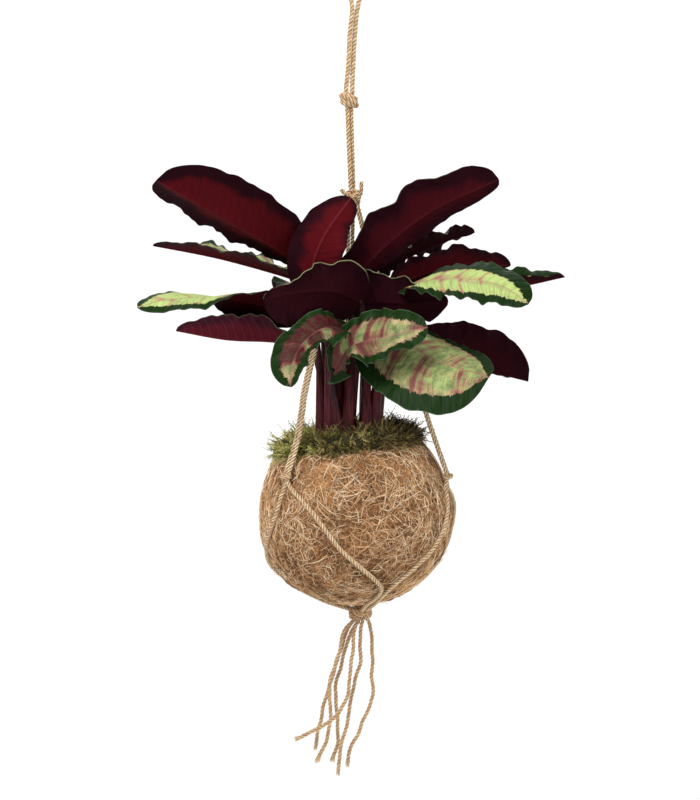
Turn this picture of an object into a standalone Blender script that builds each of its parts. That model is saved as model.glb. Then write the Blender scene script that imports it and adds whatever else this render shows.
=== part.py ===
"""A calathea growing in a hollow ball of coconut fibre, hung in a net of jute rope.

Metres, +Z up, +X to the right and -Y towards the viewer. The origin is the inside top of the
hanging loop, the one point that carries everything. Most sizes below are millimetres measured
from the crown, the middle of the moss that the leaf stalks rise through.
"""

import math
from typing import NamedTuple

import bmesh
import bpy
from mathutils import Euler, Vector

MM = 0.001
GAP = 0.3

CROWN_DROP = 340.0  # hanging loop down to the crown

# The fibre ball, in its own frame: an ellipsoid a little taller above its waist, cut off at the rim.
BALL_CENTRE = Vector((1, 0, -71))
BALL_TILT = Euler((math.radians(4), math.radians(-6.5), 0))
BALL_RADIUS = 72.0
BALL_ABOVE, BALL_BELOW = 82.0, 63.0
BALL_WALL = 8.0
RIM_HEIGHT = 56.0
SOIL_HEIGHT = 48.0
LATHE_STEPS = 28

# Jute rope.
STRAND = 3.6
TAIL = 3.2
LOOP = 3.8
ROPE_SIDES = 8

TOP_KNOT = Vector((-4.5, 0, 243.5))
TOP_KNOT_SEMI = Vector((7, 6, 7))
TIE_KNOT = Vector((-2, 0, 170))
TIE_KNOT_SEMI = Vector((6.5, 6, 7))
BOTTOM_KNOT = Vector((4, -4, -140.2))
BOTTOM_KNOT_SEMI = Vector((9, 7, 5.5))
SHOULDER_KNOT_SEMI = Vector((4.8, 4.8, 5.2))
SHOULDER_AZIMUTHS = {"left": 225, "right": 342, "back": 102}
SHOULDER_ELEVATION = 25

# Leaf stalks and blades.
STALK_FOOT_RADIUS, STALK_TOP_RADIUS = 3.5, 1.8
STALK_BEND = 8.0
STALK_RINGS = 9
BLADE_BASE_HALF, BLADE_TIP_HALF = 2.0, 0.6
BLADE_STATIONS = 10


class Leaf(NamedTuple):
    """One leaf: blade and stalk. Pairs are for the left and right half, seen from above, tip ahead."""

    spine: tuple  # points along the midrib from base to tip
    facing: tuple  # directions that the upper side faces, spread evenly from base to tip
    halves: tuple  # widest half-width of each half
    folds: tuple  # degrees that each half rises from the midrib
    skew: float  # over 1 moves the widest place towards the tip
    fullness: float  # under 0.5 makes the outline blunter
    foot: tuple  # where the stalk leaves the soil, across the ball's own frame


LEAVES = {
    "leaf_01": Leaf(
        ((-25, 2, 113), (-58, -22, 131), (-93, -42, 150), (-144, -62, 178)),
        ((0.1, 0.8, 0.5),), (37, 28), (-5, 38), 1.4, 0.45, (-8, 2),
    ),
    "leaf_02": Leaf(
        ((-32, 8, 106), (-64, 12, 116), (-106, 16, 127), (-153, 20, 136)),
        ((0, 0.15, 1),), (25, 25), (14, 12), 1.0, 0.55, (-16, 7),
    ),
    "leaf_03": Leaf(
        ((-34, -8, 77), (-64, -20, 88), (-96, -36, 94), (-135, -50, 92), (-158, -58, 86)),
        ((0, 0.4, 0.9), (0, 0.35, 0.9), (0, -0.3, 0.9), (0, -0.6, 0.8)),
        (26, 26), (0, -10), 1.0, 0.55, (-20.5, -9),
    ),
    "leaf_04": Leaf(
        ((-37, -5, 61), (-65, -14, 63), (-96, -22, 64), (-132, -30, 70)),
        ((0, 0.75, 0.6),), (24, 24), (-5, 80), 1.0, 0.55, (-15.5, -3.5),
    ),
    "leaf_05": Leaf(
        ((-23, -31, 90), (-31, -43, 113), (-23, -48, 138), (-3, -42, 167)),
        ((0.2, 1, 0.1), (0.1, 1, 0.3)), (18, 21), (5, 20), 0.9, 0.5, (-14.5, -13.5),
    ),
    "leaf_06": Leaf(
        ((6, -30, 96), (-14, -47, 99), (-40, -62, 97), (-66, -72, 91)),
        ((0, 0.95, 0.3),), (19, 26), (0, 0), 0.7, 0.45, (-0.5, -11),
    ),
    "leaf_07": Leaf(
        ((-4, -28, 71), (-22, -59, 71), (-37, -74, 60), (-45, -82, 44), (-46, -86, 28)),
        ((0.3, -0.85, 0.4), (0.1, -0.9, 0.4), (-0.4, -0.9, 0.3)), (10, 15), (40, 5), 1.35, 0.5, (0.5, -20),
    ),
    "leaf_08": Leaf(
        ((-16, -35, 40), (-3, -55, 53.5), (25, -71, 63), (52, -75, 71)),
        ((0, -0.9, 0.5),), (21, 19), (8, 8), 1.4, 0.5, (-7, -17.5),
    ),
    "leaf_09": Leaf(
        ((12, -22.5, 65), (39, -43, 58), (65, -62, 45), (96, -75, 35)),
        ((0.1, -0.95, 0.25),), (34, 45), (-40, 8), 1.1, 0.4, (11, -17),
    ),
    "leaf_10": Leaf(
        ((33, 5, 56), (65, 6, 47), (98, 4, 41), (130, 0, 33)),
        ((0, 0.85, 0.5),), (36, 36), (60, 0), 1.05, 0.45, (24, 0),
    ),
    "leaf_11": Leaf(
        ((-8, -6, 101), (21, -22, 132), (58, -35, 159), (105, -46, 180)),
        ((-0.1, 0.8, 0.5),), (13, 24), (5, 5), 1.1, 0.45, (-8, -6),
    ),
    "leaf_12": Leaf(
        ((8, 16, 107), (37, 30, 126), (65, 40, 139), (92, 50, 148)),
        ((0, 0.3, 1),), (20, 20), (5, 15), 1.0, 0.55, (-0.5, 6.5),
    ),
    "leaf_13": Leaf(
        ((19, 15, 99), (49, 17, 114), (83, 18, 122), (118, 18, 121)),
        ((0, 0.4, 0.9),), (21, 21), (10, 10), 1.0, 0.55, (6.5, 1),
    ),
    "leaf_14": Leaf(
        ((30, -20, 105), (52, -38, 109), (79, -54, 110), (106, -64, 104), (125, -70, 90)),
        ((0, -0.5, 0.9),), (30, 30), (-8, 5), 1.2, 0.45, (20, -11),
    ),
    "leaf_15": Leaf(
        ((38, 24, 98), (80, 37, 106), (123, 48, 110), (162, 55, 119)),
        ((0, -0.2, 1), (0, -0.2, 1), (-0.2, 0.5, 0.8)), (23, 23), (14, 10), 1.0, 0.55, (18, 9),
    ),
    "leaf_16": Leaf(
        ((2, -14, 91), (22, -26, 91), (42, -38, 90), (64, -46, 87)),
        ((0, 0.95, 0.2),), (18, 14), (0, 0), 0.35, 1.0, (-1, -2.5),
    ),
    "leaf_17": Leaf(
        ((-20, 20, 80), (-30, 50, 95), (-39, 82, 103), (-46, 110, 95)),
        ((0.1, -0.3, 0.9), (0.1, 0.5, 0.8)), (30, 30), (10, 10), 1.0, 0.5, (-8, 15),
    ),
    "leaf_18": Leaf(
        ((9, 30, 78), (22, 56, 88), (34, 85, 91), (46, 110, 80)),
        ((-0.1, -0.3, 0.9), (0, 0.5, 0.8)), (31, 31), (10, 10), 1.0, 0.5, (8, 17),
    ),
}

# The moss ring's section, out from the axis and up, in the ball's own frame.
MOSS_SECTION = (
    (31, 48.4), (40, 48.4), (40.8, 57), (52, 57), (54, 61), (49, 68), (41, 72.5), (33, 72), (30.5, 66),
)

# The loop runs up from the top knot, round the point it hangs by and back down.
LOOP_ROUTE = (
    (-6.7, 0, 251.2), (-4.9, -1.1, 270), (-3.9, -1.2, 292), (-2.1, -1, 312), (-4.4, 0, 325), (-7.4, 0, 333.5),
    (-5.4, 0, 339.5), (0, 0, 341.9), (5.4, 0, 339.5), (7.4, 0, 333.5), (5, 0, 325), (1.8, 1, 312),
    (-0.2, 1.2, 292), (-1.4, 1.1, 270), (-2.1, 0, 251.2),
)

# Each arm's points between the tie knot and its shoulder knot.
ARM_BENDS = {
    "left": ((-34, -27, 40), (-39, -37, 11), (-42.5, -44, -11)),
    "right": ((12, 5, 126), (26, 2, 92), (39, -9, 54), (54, -18, 5)),
    "back": ((-5, 20, 105), (-10, 40, 50)),
}

# The net's two strands below each shoulder knot: degrees round from the knot, and elevation.
NET_ROUTES = {
    "long": (
        (3, 19.5), (11, 14), (20, 6), (30, -6), (37, -15), (48, -25), (60, -35), (69, -44), (70, -54),
        (67, -67),
    ),
    "short": (
        (-2, 19.5), (-4, 14), (-6, 6), (-12, -5), (-20, -16), (-30, -27), (-39, -38), (-43, -46), (-44, -54),
        (-40, -67),
    ),
}

# Where round the bottom knot each of them lands, in degrees from the shoulder knot.
NET_LANDINGS = {"long": 57, "short": -31}

# How far round each of these has swung by its lower end, against its route: two meet behind the ball.
NET_SWINGS = {("left", "long"): 0.95, ("left", "short"): 1.6, ("back", "long"): 0.66}

# The six free rope ends below the bottom knot.
TAIL_ROUTES = (
    ((9.5, -5, -146.2), (11.5, -4, -152), (12.8, -2, -162), (12.8, 0, -187), (13.5, 1, -199), (12, 1, -208),
     (7, 1, -220), (1, 1, -234), (-4.5, 1, -246), (-5.3, 1, -256)),
    ((5.5, -9, -146.2), (4.5, -9, -152), (3.8, -7, -163), (3.8, -6, -178), (0, -6, -191), (-3.8, -6, -209),
     (-5.3, -6, -222), (-9, -6, -233), (-11.5, -6, -248), (-12.8, -6, -261)),
    ((1.5, -9, -146.1), (0, -11, -152), (-1.5, -12, -164), (-3.8, -12, -187), (-5.3, -12, -199),
     (-8.3, -12, -208), (-13.5, -12, -216), (-23, -12, -223), (-31, -12, -228), (-45, -12, -234)),
    ((2.5, -4, -146.6), (-2, -3, -153), (-7.5, -1, -169), (-11, 0, -182), (-14.3, 0, -196), (-14.3, 0, -209),
     (-12.8, 0, -225), (-13.5, 0, -240), (-17.3, 0, -252)),
    ((-1.5, -6, -146.1), (-6.5, -7, -151), (-9.5, -7, -159), (-13, -6, -175), (-17.5, -5, -187),
     (-19.5, -4, -202), (-18, -4, -213), (-19.5, -4, -227), (-23.3, -4, -241), (-29, -4, -252)),
    ((-0.5, -1.5, -146.1), (-5, 2, -152), (-9, 4, -163), (-13.5, 5, -177), (-18, 5, -192), (-21.5, 4, -204),
     (-24, 3, -213), (-26.3, 3, -223), (-28.5, 3, -235), (-30, 3, -243)),
)


# Materials: colour, roughness.
FINISHES = {
    "leaf": ("#3D1A24", 0.45),
    "stalk": ("#4A1F28", 0.4),
    "coir": ("#9C7146", 0.95),
    "moss": ("#5B5A2B", 0.95),
    "soil": ("#3B2A1E", 0.95),
    "jute": ("#C0986A", 0.9),
}


def linear(channel):
    """One sRGB channel, 0 to 1, as the linear value that a shader takes."""
    return channel / 12.92 if channel <= 0.04045 else ((channel + 0.055) / 1.055) ** 2.4


def finish(name):
    """The named material, made on first use."""
    found = bpy.data.materials.get(name)
    if found:
        return found
    colour, roughness = FINISHES[name]
    made = bpy.data.materials.new(name)
    made.use_nodes = True
    shader = made.node_tree.nodes["Principled BSDF"]
    channels = [linear(int(colour[at:at + 2], 16) / 255) for at in (1, 3, 5)]
    shader.inputs["Base Color"].default_value = (*channels, 1)
    shader.inputs["Roughness"].default_value = roughness
    shader.inputs["Metallic"].default_value = 0
    return made


def add_object(name, data, parent, material):
    """An object for this mesh or curve, under its parent empty."""
    made = bpy.data.objects.new(name, data)
    made.parent = parent
    data.materials.append(finish(material))
    bpy.context.scene.collection.objects.link(made)
    return made


def add_mesh(name, points, faces, parent, material, sharp_degrees=40):
    """A closed mesh from millimetre points, its normals pointing out."""
    mesh = bpy.data.meshes.new(name)
    mesh.from_pydata([Vector(point) * MM for point in points], [], faces)
    shell = bmesh.new()
    shell.from_mesh(mesh)
    bmesh.ops.recalc_face_normals(shell, faces=shell.faces)
    shell.to_mesh(mesh)
    shell.free()
    mesh.shade_smooth()
    mesh.set_sharp_from_angle(angle=math.radians(sharp_degrees))
    return add_object(name, mesh, parent, material)


def smooth_path(route, count):
    """Evenly spaced points on the Catmull-Rom curve through the route."""
    route = [Vector(point) for point in route]
    ends = [2 * route[0] - route[1], *route, 2 * route[-1] - route[-2]]
    fine, steps = [], 24
    for before, start, end, after in zip(ends, ends[1:], ends[2:], ends[3:]):
        for step in range(steps):
            u = step / steps
            fine.append(
                (2 * start + (end - before) * u + (2 * before - 5 * start + 4 * end - after) * u**2
                 + (3 * start - before - 3 * end + after) * u**3) / 2
            )
    fine.append(route[-1])
    return spaced(fine, count)


def spaced(points, count):
    """Points read from a fine polyline at even distances."""
    reached = [0.0]
    for start, end in zip(points, points[1:]):
        reached.append(reached[-1] + (end - start).length)
    found, at = [], 0
    for index in range(count):
        wanted = reached[-1] * index / (count - 1)
        while at < len(points) - 2 and reached[at + 1] < wanted:
            at += 1
        share = (wanted - reached[at]) / (reached[at + 1] - reached[at])
        found.append(points[at].lerp(points[at + 1], min(share, 1)))
    return found


def tangents(path):
    """The unit direction of a path at each of its points."""
    ends = [path[0], *path, path[-1]]
    return [(after - before).normalized() for before, after in zip(ends, ends[2:])]


def tube(name, path, radii, across, parent, material, flatness=1.0, sides=ROPE_SIDES):
    """A tube round a path. Its section is wider along across by 1 / flatness."""
    points, faces = [], []
    for centre, along, radius in zip(path, tangents(path), radii):
        wide = (across - across.dot(along) * along).normalized()
        thin = along.cross(wide)
        for side in range(sides):
            turn = 2 * math.pi * side / sides
            points.append(centre + wide * radius * math.cos(turn) + thin * radius * flatness * math.sin(turn))
    for ring in range(len(path) - 1):
        for side in range(sides):
            here, there = ring * sides + side, ring * sides + (side + 1) % sides
            faces.append((here, there, there + sides, here + sides))
    faces.append(tuple(range(sides)))
    faces.append(tuple(range(len(points) - sides, len(points))))
    return add_mesh(name, points, faces, parent, material)


def free_rope(name, route, diameter, spacing, parent):
    """A rope that hangs free: a bevelled poly curve with filled caps."""
    length = sum((Vector(b) - Vector(a)).length for a, b in zip(route, route[1:]))
    path = smooth_path(route, round(length / (diameter * spacing)) + 1)
    curve = bpy.data.curves.new(name, "CURVE")
    curve.dimensions = "3D"
    curve.bevel_depth = diameter / 2 * MM
    curve.bevel_resolution = 2
    curve.use_fill_caps = True
    spline = curve.splines.new("POLY")
    spline.points.add(len(path) - 1)
    for point, place in zip(spline.points, path):
        point.co = (*(place * MM), 1)
    return add_object(name, curve, parent, "jute")


def lathe(name, section, closed, parent, material):
    """A section, out from the axis and up, turned once round. An open one ends on the axis."""
    shell = bmesh.new()
    ring = [shell.verts.new((out * MM, 0, up * MM)) for out, up in section]
    edges = [shell.edges.new(pair) for pair in zip(ring, ring[1:])]
    if closed:
        edges.append(shell.edges.new((ring[-1], ring[0])))
    bmesh.ops.spin(
        shell, geom=ring + edges, cent=(0, 0, 0), axis=(0, 0, 1),
        angle=2 * math.pi, steps=LATHE_STEPS, use_merge=True,
    )
    bmesh.ops.remove_doubles(shell, verts=shell.verts, dist=0.01 * MM)
    bmesh.ops.recalc_face_normals(shell, faces=shell.faces)
    mesh = bpy.data.meshes.new(name)
    shell.to_mesh(mesh)
    shell.free()
    mesh.shade_smooth()
    mesh.set_sharp_from_angle(angle=math.radians(40))
    return add_object(name, mesh, parent, material)


def ellipsoid_arc(radius, below, above, start, end, count):
    """Points of a ball's section between two heights, low to high, even in angle."""
    angles = [math.asin(height / (below if height < 0 else above)) for height in (start, end)]
    section = []
    for step in range(count):
        angle = angles[0] + (angles[1] - angles[0]) * step / (count - 1)
        depth = below if angle < 0 else above
        section.append((radius * math.cos(angle), depth * math.sin(angle)))
    return section


def on_ball(azimuth, elevation, proud):
    """The point over the ball's surface that is seen in this level direction from its centre."""
    turn = Euler((0, -math.radians(elevation), math.radians(azimuth)))
    out = turn.to_matrix() @ Vector((1, 0, 0))
    own = BALL_TILT.to_matrix().transposed() @ out
    depth = BALL_ABOVE if own.z > 0 else BALL_BELOW
    reach = 1 / math.sqrt((own.x**2 + own.y**2) / BALL_RADIUS**2 + own.z**2 / depth**2)
    return BALL_CENTRE + out * (reach + proud)


def knot(name, centre, semi, parent):
    """A tight knot's outer shape: a ball squared off a little, as wound rope is."""
    shell = bmesh.new()
    bmesh.ops.create_uvsphere(shell, u_segments=12, v_segments=8, radius=1)
    for vert in shell.verts:
        size = sum(abs(part) ** 3 for part in vert.co) ** (1 / 3)
        vert.co = (centre + semi * (vert.co / size)) * MM
    mesh = bpy.data.meshes.new(name)
    shell.to_mesh(mesh)
    shell.free()
    mesh.shade_smooth()
    return add_object(name, mesh, parent, "jute")


def knot_edge(centre, semi, towards, clear=GAP):
    """Where a rope meets a knot: just outside its surface, in the direction of another point."""
    way = (towards - centre).normalized()
    size = sum(abs(part / half) ** 3 for part, half in zip(way, semi)) ** (1 / 3)
    return centre + way * (1 / size + clear)


def half_width(leaf, side, along):
    """How far a blade's margin lies from the midrib, for a share of the way to the tip."""
    x = along**leaf.skew
    bow = (4 * x * (1 - x)) ** leaf.fullness
    return leaf.halves[side] * bow + BLADE_BASE_HALF * (1 - along) + BLADE_TIP_HALF * along


def spread(values, along):
    """A value read between evenly spread ones."""
    if len(values) == 1:
        return Vector(values[0])
    at = along * (len(values) - 1)
    low = min(int(at), len(values) - 2)
    return Vector(values[low]).lerp(Vector(values[low + 1]), at - low)


def blade(name, leaf, parent):
    """A thin closed sheet along the spine, each half folded from the midrib."""
    path = smooth_path(leaf.spine, BLADE_STATIONS)
    shares = ((0, 1.0), (0, 0.5), (0, 0.0), (1, 0.5), (1, 1.0))
    upper, lower = [], []
    for index, (centre, along) in enumerate(zip(path, tangents(path))):
        share = index / (BLADE_STATIONS - 1)
        up = spread(leaf.facing, share)
        up = (up - up.dot(along) * along).normalized()
        right = along.cross(up)
        for side, out in shares:
            reach = out * half_width(leaf, side, share) * (1 if side else -1)
            fold = math.radians(leaf.folds[side])
            point = centre + right * reach * math.cos(fold) + up * abs(reach) * math.sin(fold)
            thick = (1.6 - 0.7 * share) * (1 - out) + 0.8 * out
            upper.append(point + up * thick / 2)
            lower.append(point - up * thick / 2)
    wide, count = len(shares), len(upper)
    faces = []
    for row in range(BLADE_STATIONS - 1):
        for column in range(wide - 1):
            corner = row * wide + column
            face = (corner, corner + 1, corner + wide + 1, corner + wide)
            faces.append(face)
            faces.append(tuple(index + count for index in reversed(face)))
        for edge, step in ((row * wide, wide), (row * wide + wide - 1, wide)):
            faces.append((edge, edge + step, edge + step + count, edge + count))
    for row in (0, BLADE_STATIONS - 1):
        for column in range(wide - 1):
            corner = row * wide + column
            faces.append((corner, corner + 1, corner + 1 + count, corner + count))
    return add_mesh(name, upper + lower, faces, parent, "leaf")


def stalk(name, leaf, parent):
    """A tapering stalk from the soil to just short of its blade."""
    foot = BALL_CENTRE + BALL_TILT.to_matrix() @ Vector((*leaf.foot, SOIL_HEIGHT + 3 * GAP))
    base = Vector(leaf.spine[0])
    way = tangents(smooth_path(leaf.spine, BLADE_STATIONS))[0]
    top = base - way * 3 * GAP
    low, high = foot + Vector((0, 0, (top - foot).length * 0.45)), top - way * STALK_BEND
    fine = []
    for step in range(41):
        u = step / 40
        fine.append(foot * (1 - u)**3 + low * 3 * u * (1 - u)**2 + high * 3 * u**2 * (1 - u) + top * u**3)
    path = spaced(fine, STALK_RINGS)[:-1] + [top - way, top]
    shares = [step / STALK_RINGS for step in range(STALK_RINGS + 1)]
    radii = [STALK_FOOT_RADIUS + (STALK_TOP_RADIUS - STALK_FOOT_RADIUS) * share for share in shares]
    across = way.cross(Vector((0, 0, 1)))
    return tube(name, path, radii, across, parent, "stalk")


def build_plant(crown):
    for name, leaf in LEAVES.items():
        blade(name + "_blade", leaf, crown)
        stalk(name + "_stalk", leaf, crown)


def build_pot(ball):
    outer = ellipsoid_arc(BALL_RADIUS, BALL_BELOW, BALL_ABOVE, -BALL_BELOW, RIM_HEIGHT, 12)
    inner = (BALL_RADIUS - BALL_WALL, BALL_BELOW - BALL_WALL, BALL_ABOVE - BALL_WALL)
    hollow = ellipsoid_arc(*inner, -inner[1], RIM_HEIGHT, 10)
    lathe("coir_pot", outer + hollow[::-1], False, ball, "coir")
    fill = ellipsoid_arc(*(size - 3 * GAP for size in inner), -inner[1] + 3 * GAP, SOIL_HEIGHT, 9)
    lathe("soil", fill + [(0, SOIL_HEIGHT)], False, ball, "soil")
    lathe("moss", MOSS_SECTION, True, ball, "moss")


def build_upper_ropes(hanger):
    free_rope("hanging_loop", LOOP_ROUTE, LOOP, 2, hanger)
    knot("top_knot", TOP_KNOT, TOP_KNOT_SEMI, hanger)
    start = knot_edge(TOP_KNOT, TOP_KNOT_SEMI, TIE_KNOT)
    end = knot_edge(TIE_KNOT, TIE_KNOT_SEMI, TOP_KNOT)
    path = spaced([start, end], 4)
    tube("twin_rope", path, [LOOP] * 4, Vector((1, 0, 0)), hanger, "jute", flatness=0.5)
    knot("tie_knot", TIE_KNOT, TIE_KNOT_SEMI, hanger)


def build_arms(hanger):
    """Each arm is a doubled rope with the shoulder knot tied in its lower end."""
    for side, azimuth in SHOULDER_AZIMUTHS.items():
        centre = on_ball(azimuth, SHOULDER_ELEVATION, SHOULDER_KNOT_SEMI.x + 3 * GAP)
        tied = knot(side + "_shoulder_knot_shape", centre, SHOULDER_KNOT_SEMI, hanger)
        tied.hide_render = True
        tied.display_type = "WIRE"
        out = Vector((math.cos(math.radians(azimuth)), math.sin(math.radians(azimuth)), 0))
        start = knot_edge(TIE_KNOT, TIE_KNOT_SEMI, TIE_KNOT + out * 4.6 - Vector((0, 0, 6)), 2 * GAP)
        path = smooth_path([start, *ARM_BENDS[side], centre], 12)
        around = out.cross(Vector((0, 0, 1)))
        arm = tube(side + "_arm", path, [STRAND] * 12, around, hanger, "jute", flatness=0.5)
        joined = arm.modifiers.new("shoulder_knot", "BOOLEAN")
        joined.operation = "UNION"
        joined.object = tied


def build_net(hanger):
    for side, azimuth in SHOULDER_AZIMUTHS.items():
        for reach, route in NET_ROUTES.items():
            extra = NET_SWINGS.get((side, reach), 1) - 1
            points = [
                on_ball(azimuth + turn * (1 + extra * at / (len(route) - 1)), up, STRAND / 2 + GAP)
                for at, (turn, up) in enumerate(route)
            ]
            landing = math.radians(azimuth + NET_LANDINGS[reach] * (1 + extra))
            way = Vector((math.cos(landing), math.sin(landing), 0.3))
            points.append(knot_edge(BOTTOM_KNOT, BOTTOM_KNOT_SEMI, BOTTOM_KNOT + way, 2 * GAP))
            path = smooth_path(points, 16)
            tube(f"{side}_{reach}_net_strand", path, [STRAND / 2] * 16, Vector((0.3, 0.2, 1)), hanger, "jute")
    knot("bottom_knot", BOTTOM_KNOT, BOTTOM_KNOT_SEMI, hanger)


def build_tails(hanger):
    for number, route in enumerate(TAIL_ROUTES, 1):
        free_rope(f"tail_{number}", route, TAIL, 2.2, hanger)


def add_empty(name, place, turn=Euler()):
    made = bpy.data.objects.new(name, None)
    made.location = place * MM
    made.rotation_euler = turn
    bpy.context.scene.collection.objects.link(made)
    return made


def main():
    for old in list(bpy.data.objects):
        bpy.data.objects.remove(old)
    crown_place = Vector((0, 0, -CROWN_DROP))
    crown = add_empty("crown", crown_place)
    ball = add_empty("ball", crown_place + BALL_CENTRE, BALL_TILT)
    build_plant(crown)
    build_pot(ball)
    build_upper_ropes(crown)
    build_arms(crown)
    build_net(crown)
    build_tails(crown)


main()
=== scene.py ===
"""The looks of a calathea in a hollow ball of coconut fibre, hung in a knotted net of jute rope.

Sizes are millimetres measured from the crown, the middle of the moss that the leaf stalks rise
through; the origin of the scene is the inside top of the hanging loop, 340 mm above the crown.
"""

import math
from typing import NamedTuple

import bpy
import numpy as np
from bpy.props import FloatProperty, FloatVectorProperty, IntProperty, PointerProperty
from mathutils import Euler, Matrix, Vector


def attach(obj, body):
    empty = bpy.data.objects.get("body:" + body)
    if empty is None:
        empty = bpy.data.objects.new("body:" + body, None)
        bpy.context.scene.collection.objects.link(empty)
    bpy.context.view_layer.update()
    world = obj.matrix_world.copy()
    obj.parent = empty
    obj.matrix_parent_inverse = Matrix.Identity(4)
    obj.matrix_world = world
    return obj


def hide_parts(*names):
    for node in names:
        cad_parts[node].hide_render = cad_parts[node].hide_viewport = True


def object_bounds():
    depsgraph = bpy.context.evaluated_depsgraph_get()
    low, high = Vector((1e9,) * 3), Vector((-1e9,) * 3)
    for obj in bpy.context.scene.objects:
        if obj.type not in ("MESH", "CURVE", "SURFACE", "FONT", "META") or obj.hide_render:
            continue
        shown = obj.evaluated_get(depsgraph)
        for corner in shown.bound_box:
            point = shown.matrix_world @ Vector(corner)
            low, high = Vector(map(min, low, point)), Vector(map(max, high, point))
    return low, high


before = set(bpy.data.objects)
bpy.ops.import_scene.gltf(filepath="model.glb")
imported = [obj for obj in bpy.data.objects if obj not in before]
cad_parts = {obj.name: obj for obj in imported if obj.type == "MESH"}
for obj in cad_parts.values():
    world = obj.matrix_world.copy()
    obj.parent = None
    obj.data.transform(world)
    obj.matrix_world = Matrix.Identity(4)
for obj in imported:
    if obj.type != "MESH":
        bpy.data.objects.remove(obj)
CAD_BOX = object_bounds()

bl_info = {
    "name": "Hanging Calathea",
    "version": (1, 0, 0),
    "blender": (4, 5, 0),
    "location": "3D View > Sidebar > Calathea",
    "description": "Builds a calathea in a coconut-fibre ball, hung in a net of jute rope",
    "category": "Object",
}

MM = 0.001
TAU = 2 * math.pi
UP = np.array((0.0, 0.0, 1.0))
CROWN = np.array((0.0, 0.0, -340.0))  # from the hanging loop, mm

# The camera's place in metres, and its lens and sensor in millimetres. The paper is in metres.
CAMERA_PLACE, LENS, SENSOR = (-0.00375, -1.8, -0.32125), 108, 36
PAPER_REACH, PAPER_BEND, PAPER_TOP = 3.6, 0.9, 3.2

# The fibre ball: its middle from the crown, its lean, and its sizes in its own frame.
BALL_CENTRE = np.array((1.0, 0.0, -71.0))
BALL_TILT = np.array(Euler((math.radians(4), math.radians(-6.5), 0)).to_matrix())
BALL_RADIUS, BALL_BELOW, BALL_ABOVE = 72.0, 63.0, 82.0
BALL_WALL = 8.0
RIM_HEIGHT, SOIL_HEIGHT = 56.0, 48.0

# Knots: middle, and half sizes to left, back and up.
TOP_KNOT = ((-4.5, 0, 243.5), (7, 6, 7))
TIE_KNOT = ((-2, 0, 170), (6.5, 6, 7))
BOTTOM_KNOT = ((4, -4, -140.2), (9, 7, 5.5))

# Shoulder knots: how far each middle lies off the ball, half sizes, and directions in degrees.
SHOULDER_KNOT_OUT, SHOULDER_KNOT_HALF = 4.8, (3.9, 3.9, 3.4)
SHOULDER_AZIMUTHS = {"left": 225, "right": 342, "back": 102}
SHOULDER_ELEVATION = 25

GAP = 0.3  # between pieces that rest on each other

# Radii of the rope. The two ropes of an arm lie this far on either side of its middle.
LOOP_ROPE, TWIN_ROPE, ARM_ROPE, SHOULDER_ROPE, NET_ROPE, TAIL_ROPE = 2.05, 1.8, 1.65, 1.4, 1.7, 1.6
ARM_APART = 1.6


def srgb(code):
    """A hex colour as the linear red, green and blue that a shader takes."""
    channels = [int(code[at:at + 2], 16) / 255 for at in (1, 3, 5)]
    return tuple(c / 12.92 if c <= 0.04045 else ((c + 0.055) / 1.055) ** 2.4 for c in channels)


class Leaf(NamedTuple):
    """One leaf's shape and colouring. Pairs are for the left and right half, from above, tip ahead."""

    spine: tuple  # points along the midrib from base to tip
    facing: tuple  # directions that the upper side faces, spread evenly from base to tip
    halves: tuple  # widest half-width of each half
    folds: tuple  # degrees that each half rises from the midrib
    skew: float  # over 1 moves the widest place towards the tip
    fullness: float  # under 0.5 makes the outline blunter
    foot: tuple  # where the stalk leaves the soil, across the ball's own frame
    ruffles: tuple  # how far each margin waves
    lobes: tuple  # how far each half reaches back past the stalk
    pale: tuple  # share of each half that the medallion covers
    wine: float  # how red the middle of the underside is, as painted light shining through the medallion; past 1 it goes over to mauve, a painted sheen
    lime: float  # how fresh a green the medallion is; at 0 it's mottled
    hems: tuple  # how far each margin curls over, to show its pale edge from below
    rose: float  # how pink the medallion is between its bands
    outline: tuple = ((1, 1), (1, 1))  # each half's width against a plain bow, from base to tip


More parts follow.
